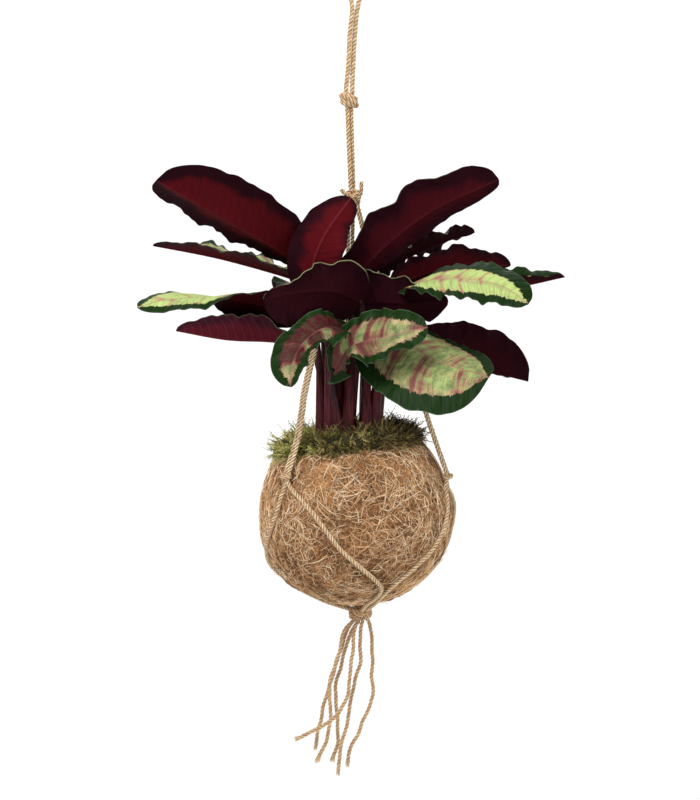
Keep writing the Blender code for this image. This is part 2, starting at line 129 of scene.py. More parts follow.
LEAVES = {
    "leaf_01": Leaf(
        ((-25, 2, 113), (-58, -22, 131), (-93, -42, 150), (-144, -62, 178)),
        ((0.1, 0.8, 0.5),), (37, 28), (-5, 38), 1.4, 0.45, (-8, 2),
        (0.5, 1.4), (0, 0), (0.74, 0.6), 0.85, 0.3, (0, 0), 0.35,
        ((1, 1), (1, 1.03, 0.95, 1.04, 0.95, 1.05, 0.96, 1.06, 0.98, 1.2, 1.5)),
    ),
    "leaf_02": Leaf(
        ((-32, 8, 106), (-64, 12, 116), (-106, 16, 127), (-153, 20, 136)),
        ((0, 0, 1),), (25, 25), (15, 20), 1.0, 0.55, (-16, 7),
        (1.2, 3.0), (0, 0), (0.7, 0.8), 0.7, 0.4, (0.3, 0), 0.2,
        ((1, 0.95, 1.1, 0.9, 1.1, 0.9), (1, 0.9, 1.15, 0.8, 1.15, 0.85, 1.0)),
    ),
    "leaf_03": Leaf(
        ((-34, -8, 77), (-64, -20, 88), (-96, -36, 94), (-135, -50, 92), (-158, -58, 86)),
        ((0, 0.4, 0.9), (0, 0.35, 0.9), (0, -0.3, 0.9), (0, -0.6, 0.8)),
        (26, 26), (0, -10), 1.0, 0.55, (-20.5, -9),
        (1.2, 1.2), (0, 0), (0.8, 0.84), 0.45, 0.95, (0, 0), 0.0,
    ),
    "leaf_04": Leaf(
        ((-37, -5, 61), (-65, -14, 63), (-96, -22, 64), (-132, -30, 70)),
        ((0, 0.75, 0.6),), (24, 24), (-5, 80), 1.0, 0.55, (-15.5, -3.5),
        (2.2, 1.0), (0, 0), (0.7, 0.7), 1.2, 0.3, (0.4, 0), 0.35,
        ((0.25, 0.55, 1.0, 1.05, 0.95, 1.0), (1, 1)),
    ),
    "leaf_05": Leaf(
        ((-23, -31, 90), (-31, -43, 113), (-23, -48, 138), (-3, -42, 167)),
        ((0.2, 1, 0.1), (0.1, 1, 0.3)), (18, 21), (5, 20), 0.9, 0.5, (-14.5, -13.5),
        (0.8, 0.8), (0, 0), (0.97, 0.6), 1.0, 0.3, (0, 0), 0.35,
        ((1, 1.05, 0.95, 1.0, 0.85, 1.2), (1, 1, 1.03, 1, 1)),
    ),
    "leaf_06": Leaf(
        ((4, -27, 91), (-14, -47, 98), (-40, -62, 97), (-66, -72, 91)),
        ((0, 0.95, 0.3),), (19, 26), (0, 0), 0.7, 0.45, (-0.5, -11),
        (3.6, 2.6), (8, 2), (0.7, 0.7), 0.08, 0.3, (0.8, 0), 0.35,
        ((0.7, 1.0, 1.3, 1.0, 1.05, 0.62, 0.5, 0.75), (1, 1, 1.05, 1.0, 1.25, 1.35)),
    ),
    "leaf_07": Leaf(
        ((-4, -28, 71), (-22, -59, 71), (-37, -74, 60), (-45, -82, 44), (-46, -86, 28)),
        ((0.3, -0.85, 0.4), (0.1, -0.9, 0.4), (-0.4, -0.9, 0.3)), (16, 15), (28, 5), 1.35, 0.5,
        (-1.5, -20),
        (3.0, 2.8), (2, 2), (0.72, 0.72), 0.4, 0.0, (0, 0), 1.15,
        ((1, 1.1, 1.2, 0.9, 0.85, 1), (1, 1, 1, 0.9, 1.25, 1.2)),
    ),
    "leaf_08": Leaf(
        ((-16, -35, 40), (-3, -55, 58), (25, -71, 65), (52, -75, 71)),
        ((0, -0.9, 0.5),), (21, 19), (8, 8), 1.4, 0.5, (-7, -17.5),
        (3.0, 4.0), (4, 12), (0.68, 0.74), 0.4, 0.15, (0, 0), 0.5,
        ((1, 1.05, 0.95, 1.08, 0.9, 1), (1.3, 1.2, 0.78, 1.15, 0.82, 1.1)),
    ),
    "leaf_09": Leaf(
        ((12, -22.5, 65), (39, -43, 58), (65, -62, 45), (96, -75, 35)),
        ((0.1, -0.95, 0.25),), (34, 45), (-40, 8), 1.1, 0.4, (13.5, -17),
        (1.0, 1.0), (0, 9), (0.78, 0.74), 0.4, 0.3, (0, 0), 0.3,
    ),
    "leaf_10": Leaf(
        ((33, 5, 56), (65, 6, 47), (98, 4, 41), (130, 0, 33)),
        ((0, 0.85, 0.5),), (36, 36), (60, 0), 1.05, 0.45, (20, 0),
        (1.4, 1.4), (4, 4), (0.7, 0.7), 0.1, 0.3, (0, 0), 0.35,
    ),
    "leaf_11": Leaf(
        ((-8, -6, 101), (21, -22, 132), (58, -35, 159), (105, -46, 180)),
        ((-0.1, 0.8, 0.5),), (13, 24), (5, 5), 1.1, 0.45, (-8, -6),
        (0.8, 1.6), (0, 0), (0.72, 0.66), 0.38, 0.3, (0, 0.2), 0.35,
        ((1, 1, 1.05, 0.95, 1.1), (1.8, 1.04, 0.88, 1.1, 0.9, 1.12, 0.92, 1.1, 1.3)),
    ),
    "leaf_12": Leaf(
        ((8, 16, 107), (37, 30, 126), (65, 40, 139), (92, 50, 148)),
        ((0, 0.3, 1),), (20, 20), (5, 15), 1.0, 0.55, (-0.5, 6.5),
        (3.6, 3.6), (0, 0), (0.7, 0.7), 0.1, 0.3, (0.3, 0), 0.35,
    ),
    "leaf_13": Leaf(
        ((19, 15, 99), (49, 17, 114), (83, 18, 122), (118, 18, 121)),
        ((0, 0.4, 0.9),), (21, 21), (10, 10), 1.0, 0.55, (11.5, 1),
        (1.8, 2.4), (0, 0), (0.7, 0.7), 0.6, 0.3, (0, 0), 0.35,
    ),
    "leaf_14": Leaf(
        ((36, -20, 102), (54, -38, 106.5), (79, -54, 107), (106, -64, 101), (125, -70, 88)),
        ((0, -0.5, 0.9),), (26, 33), (2, 2), 1.25, 0.5, (17.5, -11),
        (1.6, 3.0), (0, 0), (0.44, 0.8), 0.4, 0.9, (0, 0), 0.15,
        ((1, 1), (1, 1.05, 0.92, 1.1, 0.9, 1.1)),
    ),
    "leaf_15": Leaf(
        ((38, 24, 97), (80, 37, 103), (123, 48, 106), (162, 55, 114)),
        ((0, -0.2, 1),), (23, 10), (28, 50), 1.0, 0.55, (18, 9),
        (3.0, 2.4), (0, 0), (0.5, 0.3), 0.9, 0.4, (0, 0), 0.2,
    ),
    "leaf_16": Leaf(
        ((2, -14, 91), (22, -26, 91), (42, -38, 90), (68, -47, 91)),
        ((0, 0.95, 0.2),), (19, 18), (0, 0), 0.7, 0.45, (-1, -2.5),
        (4.4, 3.8), (6, 2), (0.7, 0.7), 0.05, 0.3, (0, 0.7), 0.35,
        ((0.7, 1.0, 0.8, 1.05, 0.75, 0.95, 0.55), (1.5, 1.4, 0.95, 1.1, 0.8, 0.55)),
    ),
    "leaf_17": Leaf(
        ((-20, 20, 80), (-30, 50, 95), (-39, 82, 103), (-46, 110, 95)),
        ((0.1, -0.3, 0.9), (0.1, 0.5, 0.8)), (30, 30), (10, 10), 1.0, 0.5, (-8, 15),
        (2.0, 2.0), (3, 3), (0.7, 0.7), 0.5, 0.3, (0, 0), 0.5,
    ),
    "leaf_18": Leaf(
        ((9, 30, 78), (22, 56, 88), (34, 85, 91), (46, 110, 80)),
        ((-0.1, -0.3, 0.9), (0, 0.5, 0.8)), (31, 31), (10, 10), 1.0, 0.5, (12.5, 17),
        (2.0, 2.0), (3, 3), (0.72, 0.72), 0.5, 0.4, (0, 0), 0.45,
    ),
}

# Dents in the ball: direction from its centre, how wide and how deep.
DENTS = ((-81, 4, 5.5, 1.8), (-81, -13, 5.0, 1.6), (-112, -3, 7.0, 1.0), (-60, 14, 6.0, 1.0))

# The moss ring's section, out from the axis and up, in the ball's own frame.
MOSS_SECTION = (
    (31, 48.4), (40, 48.4), (40.8, 57), (52, 57), (54, 61), (49, 68), (41, 72.5), (33, 72), (30.5, 66),
)

# Where tufts root: over the ring from its outer edge, and on over the soil between the stalks.
MOUND_PROFILE = ((50, 57), (50.5, 60), (50, 63), (47, 66), (41, 68), (33, 68), (26, 65), (14, 63), (2, 62))

# The loop runs up from the top knot, round the point it hangs by and back down.
LOOP_ROUTE = (
    (-6.7, 0, 251.2), (-4.9, -1.1, 270), (-3.9, -1.2, 292), (-2.1, -1, 312), (-4.4, 0, 325), (-7.4, 0, 333.5),
    (-5.4, 0, 339.5), (0, 0, 341.9), (5.4, 0, 339.5), (7.4, 0, 333.5), (5, 0, 325), (1.8, 1, 312),
    (-0.2, 1.2, 292), (-1.4, 1.1, 270), (-2.1, 0, 251.2),
)

# Each arm's points between the tie knot and its shoulder knot.
ARM_BENDS = {
    "left": ((-34, -27, 40), (-39, -37, 11), (-42.5, -44, -11)),
    "right": ((12, 5, 126), (26, 2, 92), (39, -9, 54), (54, -18, 5)),
    "back": ((-5, 20, 105), (-10, 40, 50)),
}

# The net's two strands below each shoulder knot: degrees round from the knot, and elevation.
NET_ROUTES = {
    "long": (
        (3, 19.5), (11, 14), (20, 6), (30, -6), (37, -15), (48, -25), (60, -35), (69, -44), (70, -54),
        (67, -67),
    ),
    "short": (
        (-2, 19.5), (-4, 14), (-6, 6), (-12, -5), (-20, -16), (-30, -27), (-39, -38), (-43, -46), (-44, -54),
        (-40, -67),
    ),
}

# Where round the bottom knot each of them lands, in degrees from the shoulder knot.
NET_LANDINGS = {"long": 57, "short": -31}

# How far round each of these has swung by its lower end, against its route: two meet behind the ball.
NET_SWINGS = {("left", "long"): 0.95, ("left", "short"): 1.6, ("back", "long"): 0.66}

# The six free rope ends below the bottom knot.
TAIL_ROUTES = (
    ((9.5, -5, -146.2), (11.5, -4, -152), (12.8, -2, -162), (12.8, 0, -187), (13.5, 1, -199), (12, 1, -208),
     (7, 1, -220), (1, 1, -234), (-4.5, 1, -246), (-5.3, 1, -256)),
    ((5.5, -9, -146.2), (4.5, -9, -152), (3.8, -7, -163), (3.8, -6, -178), (0, -6, -191), (-3.8, -6, -209),
     (-5.3, -6, -222), (-9, -6, -233), (-11.5, -6, -248), (-12.8, -6, -261)),
    ((1.5, -9, -146.1), (0, -11, -152), (-1.5, -12, -164), (-3.8, -12, -187), (-5.3, -12, -199),
     (-8.3, -12, -208), (-13.5, -12, -216), (-23, -12, -223), (-31, -12, -228), (-45, -12, -234)),
    ((2.5, -4, -146.6), (-2, -3, -153), (-7.5, -1, -169), (-11, 0, -182), (-14.3, 0, -196), (-14.3, 0, -209),
     (-12.8, 0, -225), (-13.5, 0, -240), (-17.3, 0, -252)),
    ((-1.5, -6, -146.1), (-6.5, -7, -151), (-9.5, -7, -159), (-13, -6, -175), (-17.5, -5, -187),
     (-19.5, -4, -202), (-18, -4, -213), (-19.5, -4, -227), (-23.3, -4, -241), (-29, -4, -252)),
    ((-0.5, -1.5, -146.1), (-5, 2, -152), (-9, 4, -163), (-13.5, 5, -177), (-18, 5, -192), (-21.5, 4, -204),
     (-24, 3, -213), (-26.3, 3, -223), (-28.5, 3, -235), (-30, 3, -243)),
)

# Cut ends that stand out of the tie knot.
TIE_KNOT_ENDS = (
    ((-5, -3, 171), (-8, -5, 173.5), (-10.5, -5.5, 176)), ((2, -4, 168), (4.5, -5, 174), (4.8, -5, 182)),
)


# ---------------------------------------------------------------- settings


def size_setting(name, description, default, low, high):
    """A length setting, given in millimetres."""
    return FloatProperty(
        name=name, description=description, default=default * MM, min=low * MM, max=high * MM,
        unit="LENGTH", precision=5,
    )


def tint(name, description, code):
    """A colour setting, given in hex."""
    return FloatVectorProperty(
        name=name, description=description, default=srgb(code), min=0, max=1, subtype="COLOR",
    )


class LeafSettings(bpy.types.PropertyGroup):
    """Sizes and colours of the leaves."""

    thickness: size_setting("Blade thickness", "Thickness of a blade away from its midrib", 0.55, 0.2, 1.5)
    vein_spacing: size_setting("Vein spacing", "Distance between side veins along the midrib", 6.5, 3, 15)
    margin: tint("Margin green", "Band round the upper side", "#1A3012")
    medallion: tint("Medallion", "Pale middle of the upper side", "#929F68")
    rose: tint("Rose bands", "Pink bands along the side veins", "#8A3145")
    wine: tint("Wine bands", "The deepest of the pink bands", "#4A0C1E")
    underside: tint("Underside", "Dark burgundy underside", "#230A11")
    # Painted light: red standing for light that shines through the medallion onto the underside's middle.
    underglow: tint("Underside middle", "Red where the medallion shows through", "#500E14")
    stalk: tint("Stalk", "Leaf stalks", "#582026")


class PotSettings(bpy.types.PropertyGroup):
    """Sizes and colours of the fibre ball and the moss."""

    fibres: IntProperty(
        name="Fibres", description="Loose fibres matted over the ball", default=13000, min=0, max=14000,
    )
    moss_tufts: IntProperty(
        name="Moss tufts", description="Tufts in the moss", default=920, min=0, max=1000,
    )
    coir: tint("Coconut fibre", "Ball and fibres", "#CA935C")
    moss: tint("Moss", "Living moss", "#686926")


class RopeSettings(bpy.types.PropertyGroup):
    """Sizes and colours of the jute rope."""

    lay: size_setting("Lay length", "Length of rope in which a strand goes once round", 9, 5, 30)
    fuzz: FloatProperty(
        name="Fuzz", description="Loose hairs on each millimetre of rope", default=1.1, min=0, max=3,
    )
    jute: tint("Jute", "Colour of the rope", "#CFA97B")


class StageSettings(bpy.types.PropertyGroup):
    """Floor and light."""

    clearance: FloatProperty(
        name="Floor clearance", description="From the lowest rope end down to the floor",
        default=0.25, min=0.01, max=2, unit="LENGTH",
    )
    key_power: FloatProperty(
        name="Key light", description="Power of the large soft light", default=34, min=0, max=500,
        unit="POWER",
    )
    backdrop_power: FloatProperty(
        name="Backdrop light", description="Power of the light on the paper", default=40, min=0,
        max=500, unit="POWER",
    )
    surround: FloatProperty(
        name="Surround", description="Strength of the even white light from all round", default=0.5,
        min=0, max=2,
    )
    paper: tint("Floor colour", "Pale floor and backdrop", "#F7F7F6")


class CalatheaSettings(bpy.types.PropertyGroup):
    """Everything that can be changed before the pieces are built."""

    leaf: PointerProperty(type=LeafSettings)
    pot: PointerProperty(type=PotSettings)
    rope: PointerProperty(type=RopeSettings)
    stage: PointerProperty(type=StageSettings)


# ---------------------------------------------------------------- paths


def distances(path):
    """How far along a path, or along each path of an array, each point lies."""
    steps = np.linalg.norm(np.diff(path, axis=-2), axis=-1)
    return np.concatenate([np.zeros((*steps.shape[:-1], 1)), np.cumsum(steps, axis=-1)], axis=-1)


def length_of(path):
    return float(np.linalg.norm(np.diff(path, axis=0), axis=1).sum())


def read_along(wanted, given, values):
    """Each column of values, read at the wanted places between the given ones."""
    return np.stack([np.interp(wanted, given, column) for column in np.array(values, float).T], axis=1)


def evenly(fine, count):
    """Evenly spaced points along a fine polyline."""
    reached = distances(fine)
    return read_along(np.linspace(0, reached[-1], count), reached, fine)


def smooth_path(route, count=None):
    """Evenly spaced points on the Catmull-Rom curve through a route, 1 mm apart without a count."""
    route = np.array(route, float)
    ends = np.vstack([2 * route[0] - route[1], route, 2 * route[-1] - route[-2]])
    u = np.linspace(0, 1, 24, endpoint=False)[:, None]
    stretches = [
        (2 * start + (end - before) * u + (2 * before - 5 * start + 4 * end - after) * u**2
         + (3 * start - before - 3 * end + after) * u**3) / 2
        for before, start, end, after in zip(ends, ends[1:], ends[2:], ends[3:])
    ]
    fine = np.vstack([*stretches, route[-1:]])
    return evenly(fine, count or round(length_of(fine)) + 1)


def unit(vectors):
    return vectors / np.maximum(np.linalg.norm(vectors, axis=-1, keepdims=True), 1e-9)


def square_to(vectors, way):
    """Unit directions square to a way, nearest to the given ones."""
    return unit(vectors - (vectors * way).sum(-1, keepdims=True) * way)


def tangents(path):
    """Unit directions along each path of an array of paths, or along one."""
    before = np.concatenate([path[..., :1, :], path[..., :-1, :]], axis=-2)
    after = np.concatenate([path[..., 1:, :], path[..., -1:, :]], axis=-2)
    return unit(after - before)


def carried_frame(path, across):
    """Two directions square to a path at each point, which turn only as far as the path does."""
    along = tangents(path)
    wide = np.empty_like(path)
    last = np.array(across, float)
    for index, way in enumerate(along):
        last = unit(last - last.dot(way) * way)
        wide[index] = last
    return wide, np.cross(along, wide)


def round_axis(turn, out, up):
    """Points at an angle round the Z axis, and at a distance out and up."""
    return np.stack(np.broadcast_arrays(out * np.cos(turn), out * np.sin(turn), up), axis=-1)


def ball_turn(points):
    """Points or directions of the ball's own frame, turned into the crown's axes."""
    return points @ BALL_TILT.T


def ball_surface(way, proud):
    """The ball's surface seen from its centre in directions of its own frame, in that frame."""
    depth = np.where(way[..., 2] > 0, BALL_ABOVE, BALL_BELOW)
    flat = way[..., 0]**2 + way[..., 1]**2
    reach = 1 / np.sqrt(flat / BALL_RADIUS**2 + way[..., 2]**2 / depth**2)
    return way * (reach + proud)[..., None]


def on_ball(azimuth, elevation, proud):
    """The point over the ball's surface that is seen in this level direction from its centre."""
    turn, rise = math.radians(azimuth), math.radians(elevation)
    out = round_axis(turn, math.cos(rise), math.sin(rise))
    return BALL_CENTRE + ball_turn(ball_surface(out @ BALL_TILT, proud))


def knot_edge(knot, towards, clear):
    """Where a rope meets a knot: this far outside its surface, in the direction of another point."""
    centre, half = (np.array(values, float) for values in knot)
    way = unit(np.array(towards, float) - centre)
    return centre + way * (1 / (np.abs(way / half)**3).sum() ** (1 / 3) + clear)


# ---------------------------------------------------------------- meshes


def grid_quads(rows, columns, closed_rows, closed_columns):
    """The faces of a grid of points, which may close on itself either way."""
    index = np.arange(rows * columns).reshape(rows, columns)
    after, down = np.roll(index, -1, axis=1), np.roll(index, -1, axis=0)
    quads = np.stack([index, after, np.roll(after, -1, axis=0), down], axis=-1)
    return quads[:rows - (not closed_rows), :columns - (not closed_columns)].reshape(-1, 4)


class Shape:
    """Points and faces gathered for one mesh, with what its materials need to know at each point."""

    def __init__(self):
        self.points, self.grain, self.tone, self.faces, self.slots = [], [], [], [], []
        self.count = 0

    def add(self, points, faces, grain, tone, slot=0):
        """grain is a place in the material's own pattern, and tone its colouring, at each point."""
        self.points.append(points)
        self.grain.append(np.broadcast_to(grain, points.shape))
        self.tone.append(np.broadcast_to(tone, points.shape))
        for group in faces:
            self.faces.append(group + self.count)
            self.slots.append(np.full(len(group), slot))
        self.count += len(points)

    def tubes(self, paths, radii, sides, across, tone, flatness=1.0, section=None):
        """Round rods along an array of paths, closed at both ends, with a tone for each path or ring."""
        count, rings = paths.shape[:2]
        along = tangents(paths)
        wide = square_to(across, along)
        thin = np.cross(along, wide)
        turn = np.arange(sides) * TAU / sides
        radius = np.broadcast_to(radii, (count, rings))[..., None, None]
        if section is not None:
            radius = radius * section(turn)[None, None, :, None]
        ring = wide[:, :, None] * np.cos(turn)[:, None] + thin[:, :, None] * np.sin(turn)[:, None] * flatness
        points = paths[:, :, None] + ring * radius
        # The pattern of each path starts at a place of its own.
        started = distances(paths) + np.arange(count)[:, None] * 37.0
        grain = round_axis(turn, radius[..., 0], started[..., None])
        base = np.arange(count * rings).reshape(count, rings)[:, :-1].reshape(-1, 1) * sides
        here = base + np.arange(sides)
        there = base + (np.arange(sides) + 1) % sides
        walls = np.stack([here, there, there + sides, here + sides], axis=-1).reshape(-1, 4)
        first = np.arange(count)[:, None] * rings * sides + np.arange(sides)
        caps = np.concatenate([first[:, ::-1], first + (rings - 1) * sides])
        tones = np.broadcast_to(tone[:, None, None] if tone.ndim == 2 else tone[:, :, None], points.shape)
        self.add(points.reshape(-1, 3), [walls, caps], grain.reshape(-1, 3), tones.reshape(-1, 3))

    def build(self, name, materials):
        """The mesh as an object in the scene, smooth shaded."""
        mesh = bpy.data.meshes.new(name)
        points = (np.concatenate(self.points) + CROWN) * MM
        corners = np.concatenate([group.ravel() for group in self.faces])
        sizes = np.concatenate([np.full(len(group), group.shape[1]) for group in self.faces])
        mesh.vertices.add(len(points))
        mesh.vertices.foreach_set("co", points.ravel())
        mesh.loops.add(len(corners))
        mesh.loops.foreach_set("vertex_index", corners.astype(np.int32))
        mesh.polygons.add(len(sizes))
        mesh.polygons.foreach_set("loop_start", (np.cumsum(sizes) - sizes).astype(np.int32))
        mesh.polygons.foreach_set("material_index", np.concatenate(self.slots).astype(np.int32))
        mesh.update(calc_edges=True)
        for label, values in (("grain", self.grain), ("tone", self.tone)):
            layer = mesh.attributes.new(label, "FLOAT_VECTOR", "POINT")
            layer.data.foreach_set("vector", np.concatenate(values).astype(np.float32).ravel())
        mesh.shade_smooth()
        for material in materials:
            mesh.materials.append(material)
        made = bpy.data.objects.new(name, mesh)
        bpy.context.scene.collection.objects.link(made)
        return made

    def fit(self, name, looks, makers, slot, *nodes):
        """The built piece rides on the object and stands for its CAD nodes, and takes its finish from the
        makers; slot is not used.
        """
        piece = self.build(name, [shared(maker, looks) for maker in makers])
        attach(piece, "root")
        if nodes:
            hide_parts(*nodes)
        return piece


# ---------------------------------------------------------------- materials


def opaque(value):
    """A hex code or a colour setting as a colour socket takes it. A node or socket stays as it is."""
    if isinstance(value, (bpy.types.Node, bpy.types.NodeSocket)):
        return value
    return (*(srgb(value) if isinstance(value, str) else value), 1)


class Finish:
    """A new material, its shader with its constants set, and what adds nodes to it."""

    def __init__(self, name, **shader_values):
        self.material = bpy.data.materials.new(name)
        self.material.use_nodes = True
        self.tree = self.material.node_tree
        self.shader = self.tree.nodes["Principled BSDF"]
        for label, value in shader_values.items():
            self.feed(self.shader, label.replace("_", " "), value)

    def feed(self, node, name, value):
        """Links an input to a socket or node, or sets its value."""
        if isinstance(value, bpy.types.Node):
            value = next(output for output in value.outputs if output.enabled)
        if isinstance(value, bpy.types.NodeSocket):
            self.tree.links.new(value, node.inputs[name])
        else:
            node.inputs[name].default_value = value

    def add(self, kind, feeds=None, **settings):
        """A shader node with its settings and inputs."""
        made = self.tree.nodes.new("ShaderNode" + kind)
        for name, value in settings.items():
            setattr(made, name, value)
        for name, value in (feeds or {}).items():
            self.feed(made, name, value)
        return made

    def read(self, name):
        """The piece's grain or tone."""
        return self.add("Attribute", attribute_name=name).outputs["Vector"]

    def parts(self, name):
        """The three numbers of the piece's grain or tone."""
        return self.add("SeparateXYZ", {0: self.read(name)}).outputs

    def place(self):
        """Where a point of the piece is, in metres."""
        return self.add("TexCoord").outputs["Object"]

    def math(self, operation, *values, **settings):
        return self.add("Math", dict(enumerate(values)), operation=operation, **settings)

    def fade(self, value, start, end, low=0.0, high=1.0, kind="LINEAR"):
        """Goes from low to high as a value goes from start to end."""
        return self.add("MapRange", {0: value, 1: start, 2: end, 3: low, 4: high}, interpolation_type=kind)

    def ease(self, *values, **more):
        """The same, with soft ends."""
        return self.fade(*values, **more, kind="SMOOTHSTEP")

    def noise(self, place, scale, detail=2.0, roughness=0.5):
        return self.add("TexNoise", {
            "Vector": place, "Scale": scale, "Detail": detail, "Roughness": roughness,
        })

    def mix(self, share, under, over):
        """This share of one colour over another."""
        return self.add("Mix", {0: share, 6: opaque(under), 7: opaque(over)}, data_type="RGBA")

    def ramp(self, value, *stops):
        """The colours that a value passes through, each with its place."""
        made = self.add("ValToRGB", {0: value})
        elements = made.color_ramp.elements
        for index, (place, shade) in enumerate(stops):
            stop = elements[index] if index < 2 else elements.new(place)
            stop.position = place
            stop.color = opaque(shade)
        return made

    def done(self, skin, relief=None, depth=0.0, strength=0.0):
        """The material with its colour, and a relief this many millimetres deep."""
        self.feed(self.shader, "Base Color", opaque(skin))
        if relief is not None:
            bump = self.add("Bump", {"Height": relief, "Distance": depth * MM, "Strength": strength})
            self.feed(self.shader, "Normal", bump)
        return self.material


def vein_pattern(finish, veinlets, roughness):
    """What both sides of a blade draw their veins from, with this many veinlets to a side vein."""
    # grain: millimetres across, millimetres inside the medallion, side veins passed
    across, inside, passed = finish.parts("grain")
    side, away = finish.math("SIGN", across), finish.math("ABSOLUTE", across)
    # ridge: 0.5 on a side vein, 0 halfway to the next
    ridge = finish.math("ABSOLUTE", finish.math("SUBTRACT", finish.math("FRACT", passed), 0.5))
    comb = finish.noise(finish.add("CombineXYZ", {
        0: finish.math("MULTIPLY", passed, veinlets),
        1: finish.math("MULTIPLY", away, 0.05),
        2: finish.math("MULTIPLY", side, 9.0),
    }), 1.0, 3.0, roughness)
    return inside, passed, side, away, ridge, comb


def waxy_leaf_top(looks):
    """Upper side of a calathea leaf, grown with a thin wax skin.

    A satin gloss over a dark green margin, and a pale medallion whose edge the side veins comb
    into teeth, crossed by rose bands that follow the veins.
    """
    finish = Finish("waxy_leaf_top", Roughness=0.42, IOR=1.4, Specular_IOR_Level=0.06)
    # The comb of fine veinlets is drawn about 1 mm apart, as fine as it shows.
    inside, _, _, away, ridge, comb = vein_pattern(finish, 6.0, 0.65)
    # tone: how rose, millimetres from the margin, how lime
    rose, from_edge, lime = finish.parts("tone")
    teeth = finish.math("MULTIPLY_ADD", ridge, 2.4, inside)
    teeth = finish.math("MULTIPLY_ADD", comb, 8.5, teeth)
    medallion = finish.ease(teeth, 4.7, 5.4)
    cloud = finish.noise(finish.read("grain"), 0.09)

    # Margin: dark green, a little lighter along the veinlets, with a pale hairline at the very edge.
    dark, light = ([part * share for part in looks.margin] for share in (0.55, 1.5))
    margin = finish.mix(finish.fade(comb, 0.35, 0.75), dark, light)
    margin = finish.mix(finish.fade(from_edge, 0.7, 0.2, high=0.45), margin, "#5F7A58")

    # Medallion: pale green going to cream or lime in soft clouds, streaked along the side veins.
    pale = finish.mix(finish.fade(cloud, 0.46, 0.68), looks.medallion, "#B0A678")
    pale = finish.mix(lime, pale, "#C2D684")
    pale = finish.mix(finish.fade(comb, 0.35, 0.62, 0.55, 0.0), pale, "#7F9150")
    pale = finish.mix(finish.ease(ridge, 0.42, 0.5, high=0.5), pale, "#62743A")
    # The cream border is strongest where the leaf is neither rosy nor freshly green.
    border = finish.ease(inside, 6.5, 0.5, high=0.85)
    for colouring in (rose, lime):
        border = finish.math("MULTIPLY", border, finish.fade(colouring, 0.2, 0.55, 1.0, 0.1))
    pale = finish.mix(border, pale, "#C6A780")
    # Rose runs out along the veinlets and thins in soft clouds, so that its bands are feathered and broken.
    feathered = finish.math("MULTIPLY_ADD", comb, 1.3, rose)
    feathered = finish.math("MULTIPLY_ADD", cloud, 1.1, feathered)
    blush = finish.ease(feathered, 1.35, 1.85)
    deep = finish.fade(feathered, 1.5, 2.05)
    pink = finish.mix(lime, finish.mix(deep, looks.rose, looks.wine), "#B27A6C")
    centre = finish.mix(blush, pale, pink)
    # Dull mottling up to 8 mm across, where the leaf isn't freshly green.
    mottle = finish.math("MULTIPLY_ADD", lime, -0.2, finish.noise(finish.place(), 130.0, 7.0, 0.72))
    mottle = finish.fade(mottle, 0.36, 0.58, high=0.8)
    mottle = finish.math("MULTIPLY", mottle, finish.fade(blush, 0.0, 1.0, 1.0, 0.45))
    centre = finish.mix(mottle, centre, "#48583A")
    skin = finish.mix(medallion, margin, centre)
    rib = finish.ease(away, 0.9, 0.35, high=0.6)
    rib = finish.math("MULTIPLY", rib, finish.fade(deep, 0.0, 1.0, 1.0, 0.35))
    skin = finish.mix(rib, skin, "#A8666A")
    # Side veins are sunk about 0.3 mm into the top.
    relief = finish.math("MULTIPLY_ADD", comb, 0.35, finish.ease(ridge, 0.25, 0.5, 1.0, 0.0))
    return finish.done(skin, relief, 0.3, 0.5)


def velvet_leaf_underside(looks):
    """Underside of a calathea leaf: burgundy and soft, with little gloss.

    Light shining through the medallion is painted in as a red middle with a stepped edge. Where a margin
    curls over, its pale green edge shows.
    """
    finish = Finish("velvet_leaf_underside", Roughness=0.6, IOR=1.4, Specular_IOR_Level=0.02)
    inside, passed, side, away, ridge, comb = vein_pattern(finish, 3.0, 0.6)
    # tone: how wine red, which is how strong the painted light through the medallion is, millimetres from the
    # margin, how far the margin curls over
    wine, from_edge, hem = finish.parts("tone")
    # Each stretch between two side veins ends the red at its own distance from the margin.
    stretch = finish.add("CombineXYZ", {0: finish.math("FLOOR", passed), 1: side})
    step = finish.add("TexWhiteNoise", {"Vector": stretch}, noise_dimensions="2D").outputs["Value"]
    # Painted light: the red middle stands for light shining through the thin medallion, and ends at a stepped
    # edge.
    painted_glow = finish.math("MULTIPLY_ADD", step, 2.0, inside)
    # Soft clouds of red about 15 mm across.
    painted_glow = finish.math("MULTIPLY_ADD", finish.noise(finish.place(), 60.0, 3.0), 20.0, painted_glow)
    painted_glow = finish.math("MULTIPLY_ADD", comb, 2.5, painted_glow)
    painted_glow = finish.math("MULTIPLY", finish.ease(painted_glow, 9.0, 20.0), wine, use_clamp=True)
    skin = finish.mix(painted_glow, looks.underside, looks.underglow)
    skin = finish.mix(finish.fade(comb, 0.3, 0.6, 0.2, 0.0), skin, "#19070C")
    veins = finish.ease(ridge, 0.42, 0.5, high=0.15)
    skin = finish.mix(veins, skin, "#16060B")
    # Past 1, wine is how far the velvet goes over to mauve, a painted sheen, with lighter pink veins as
    # painted highlights.
    painted_sheen = finish.fade(wine, 1.0, 2.0)
    skin = finish.mix(painted_sheen, skin, "#6A3244")
    vein_highlight = finish.math("MULTIPLY", finish.math("MULTIPLY", veins, painted_sheen), 4.0, use_clamp=True)
    skin = finish.mix(vein_highlight, skin, "#A06478")
    # The midrib's red line is as strong as the painted light through the medallion.
    skin = finish.mix(finish.math("MULTIPLY", finish.ease(away, 0.9, 0.3, high=0.25), wine), skin, "#7A3038")
    skin = finish.mix(finish.math("MULTIPLY", finish.ease(from_edge, 0.6, 0.25), hem), skin, "#8B8F68")
    return finish.done(skin, finish.ease(ridge, 0.3, 0.5), 0.25, 0.5)


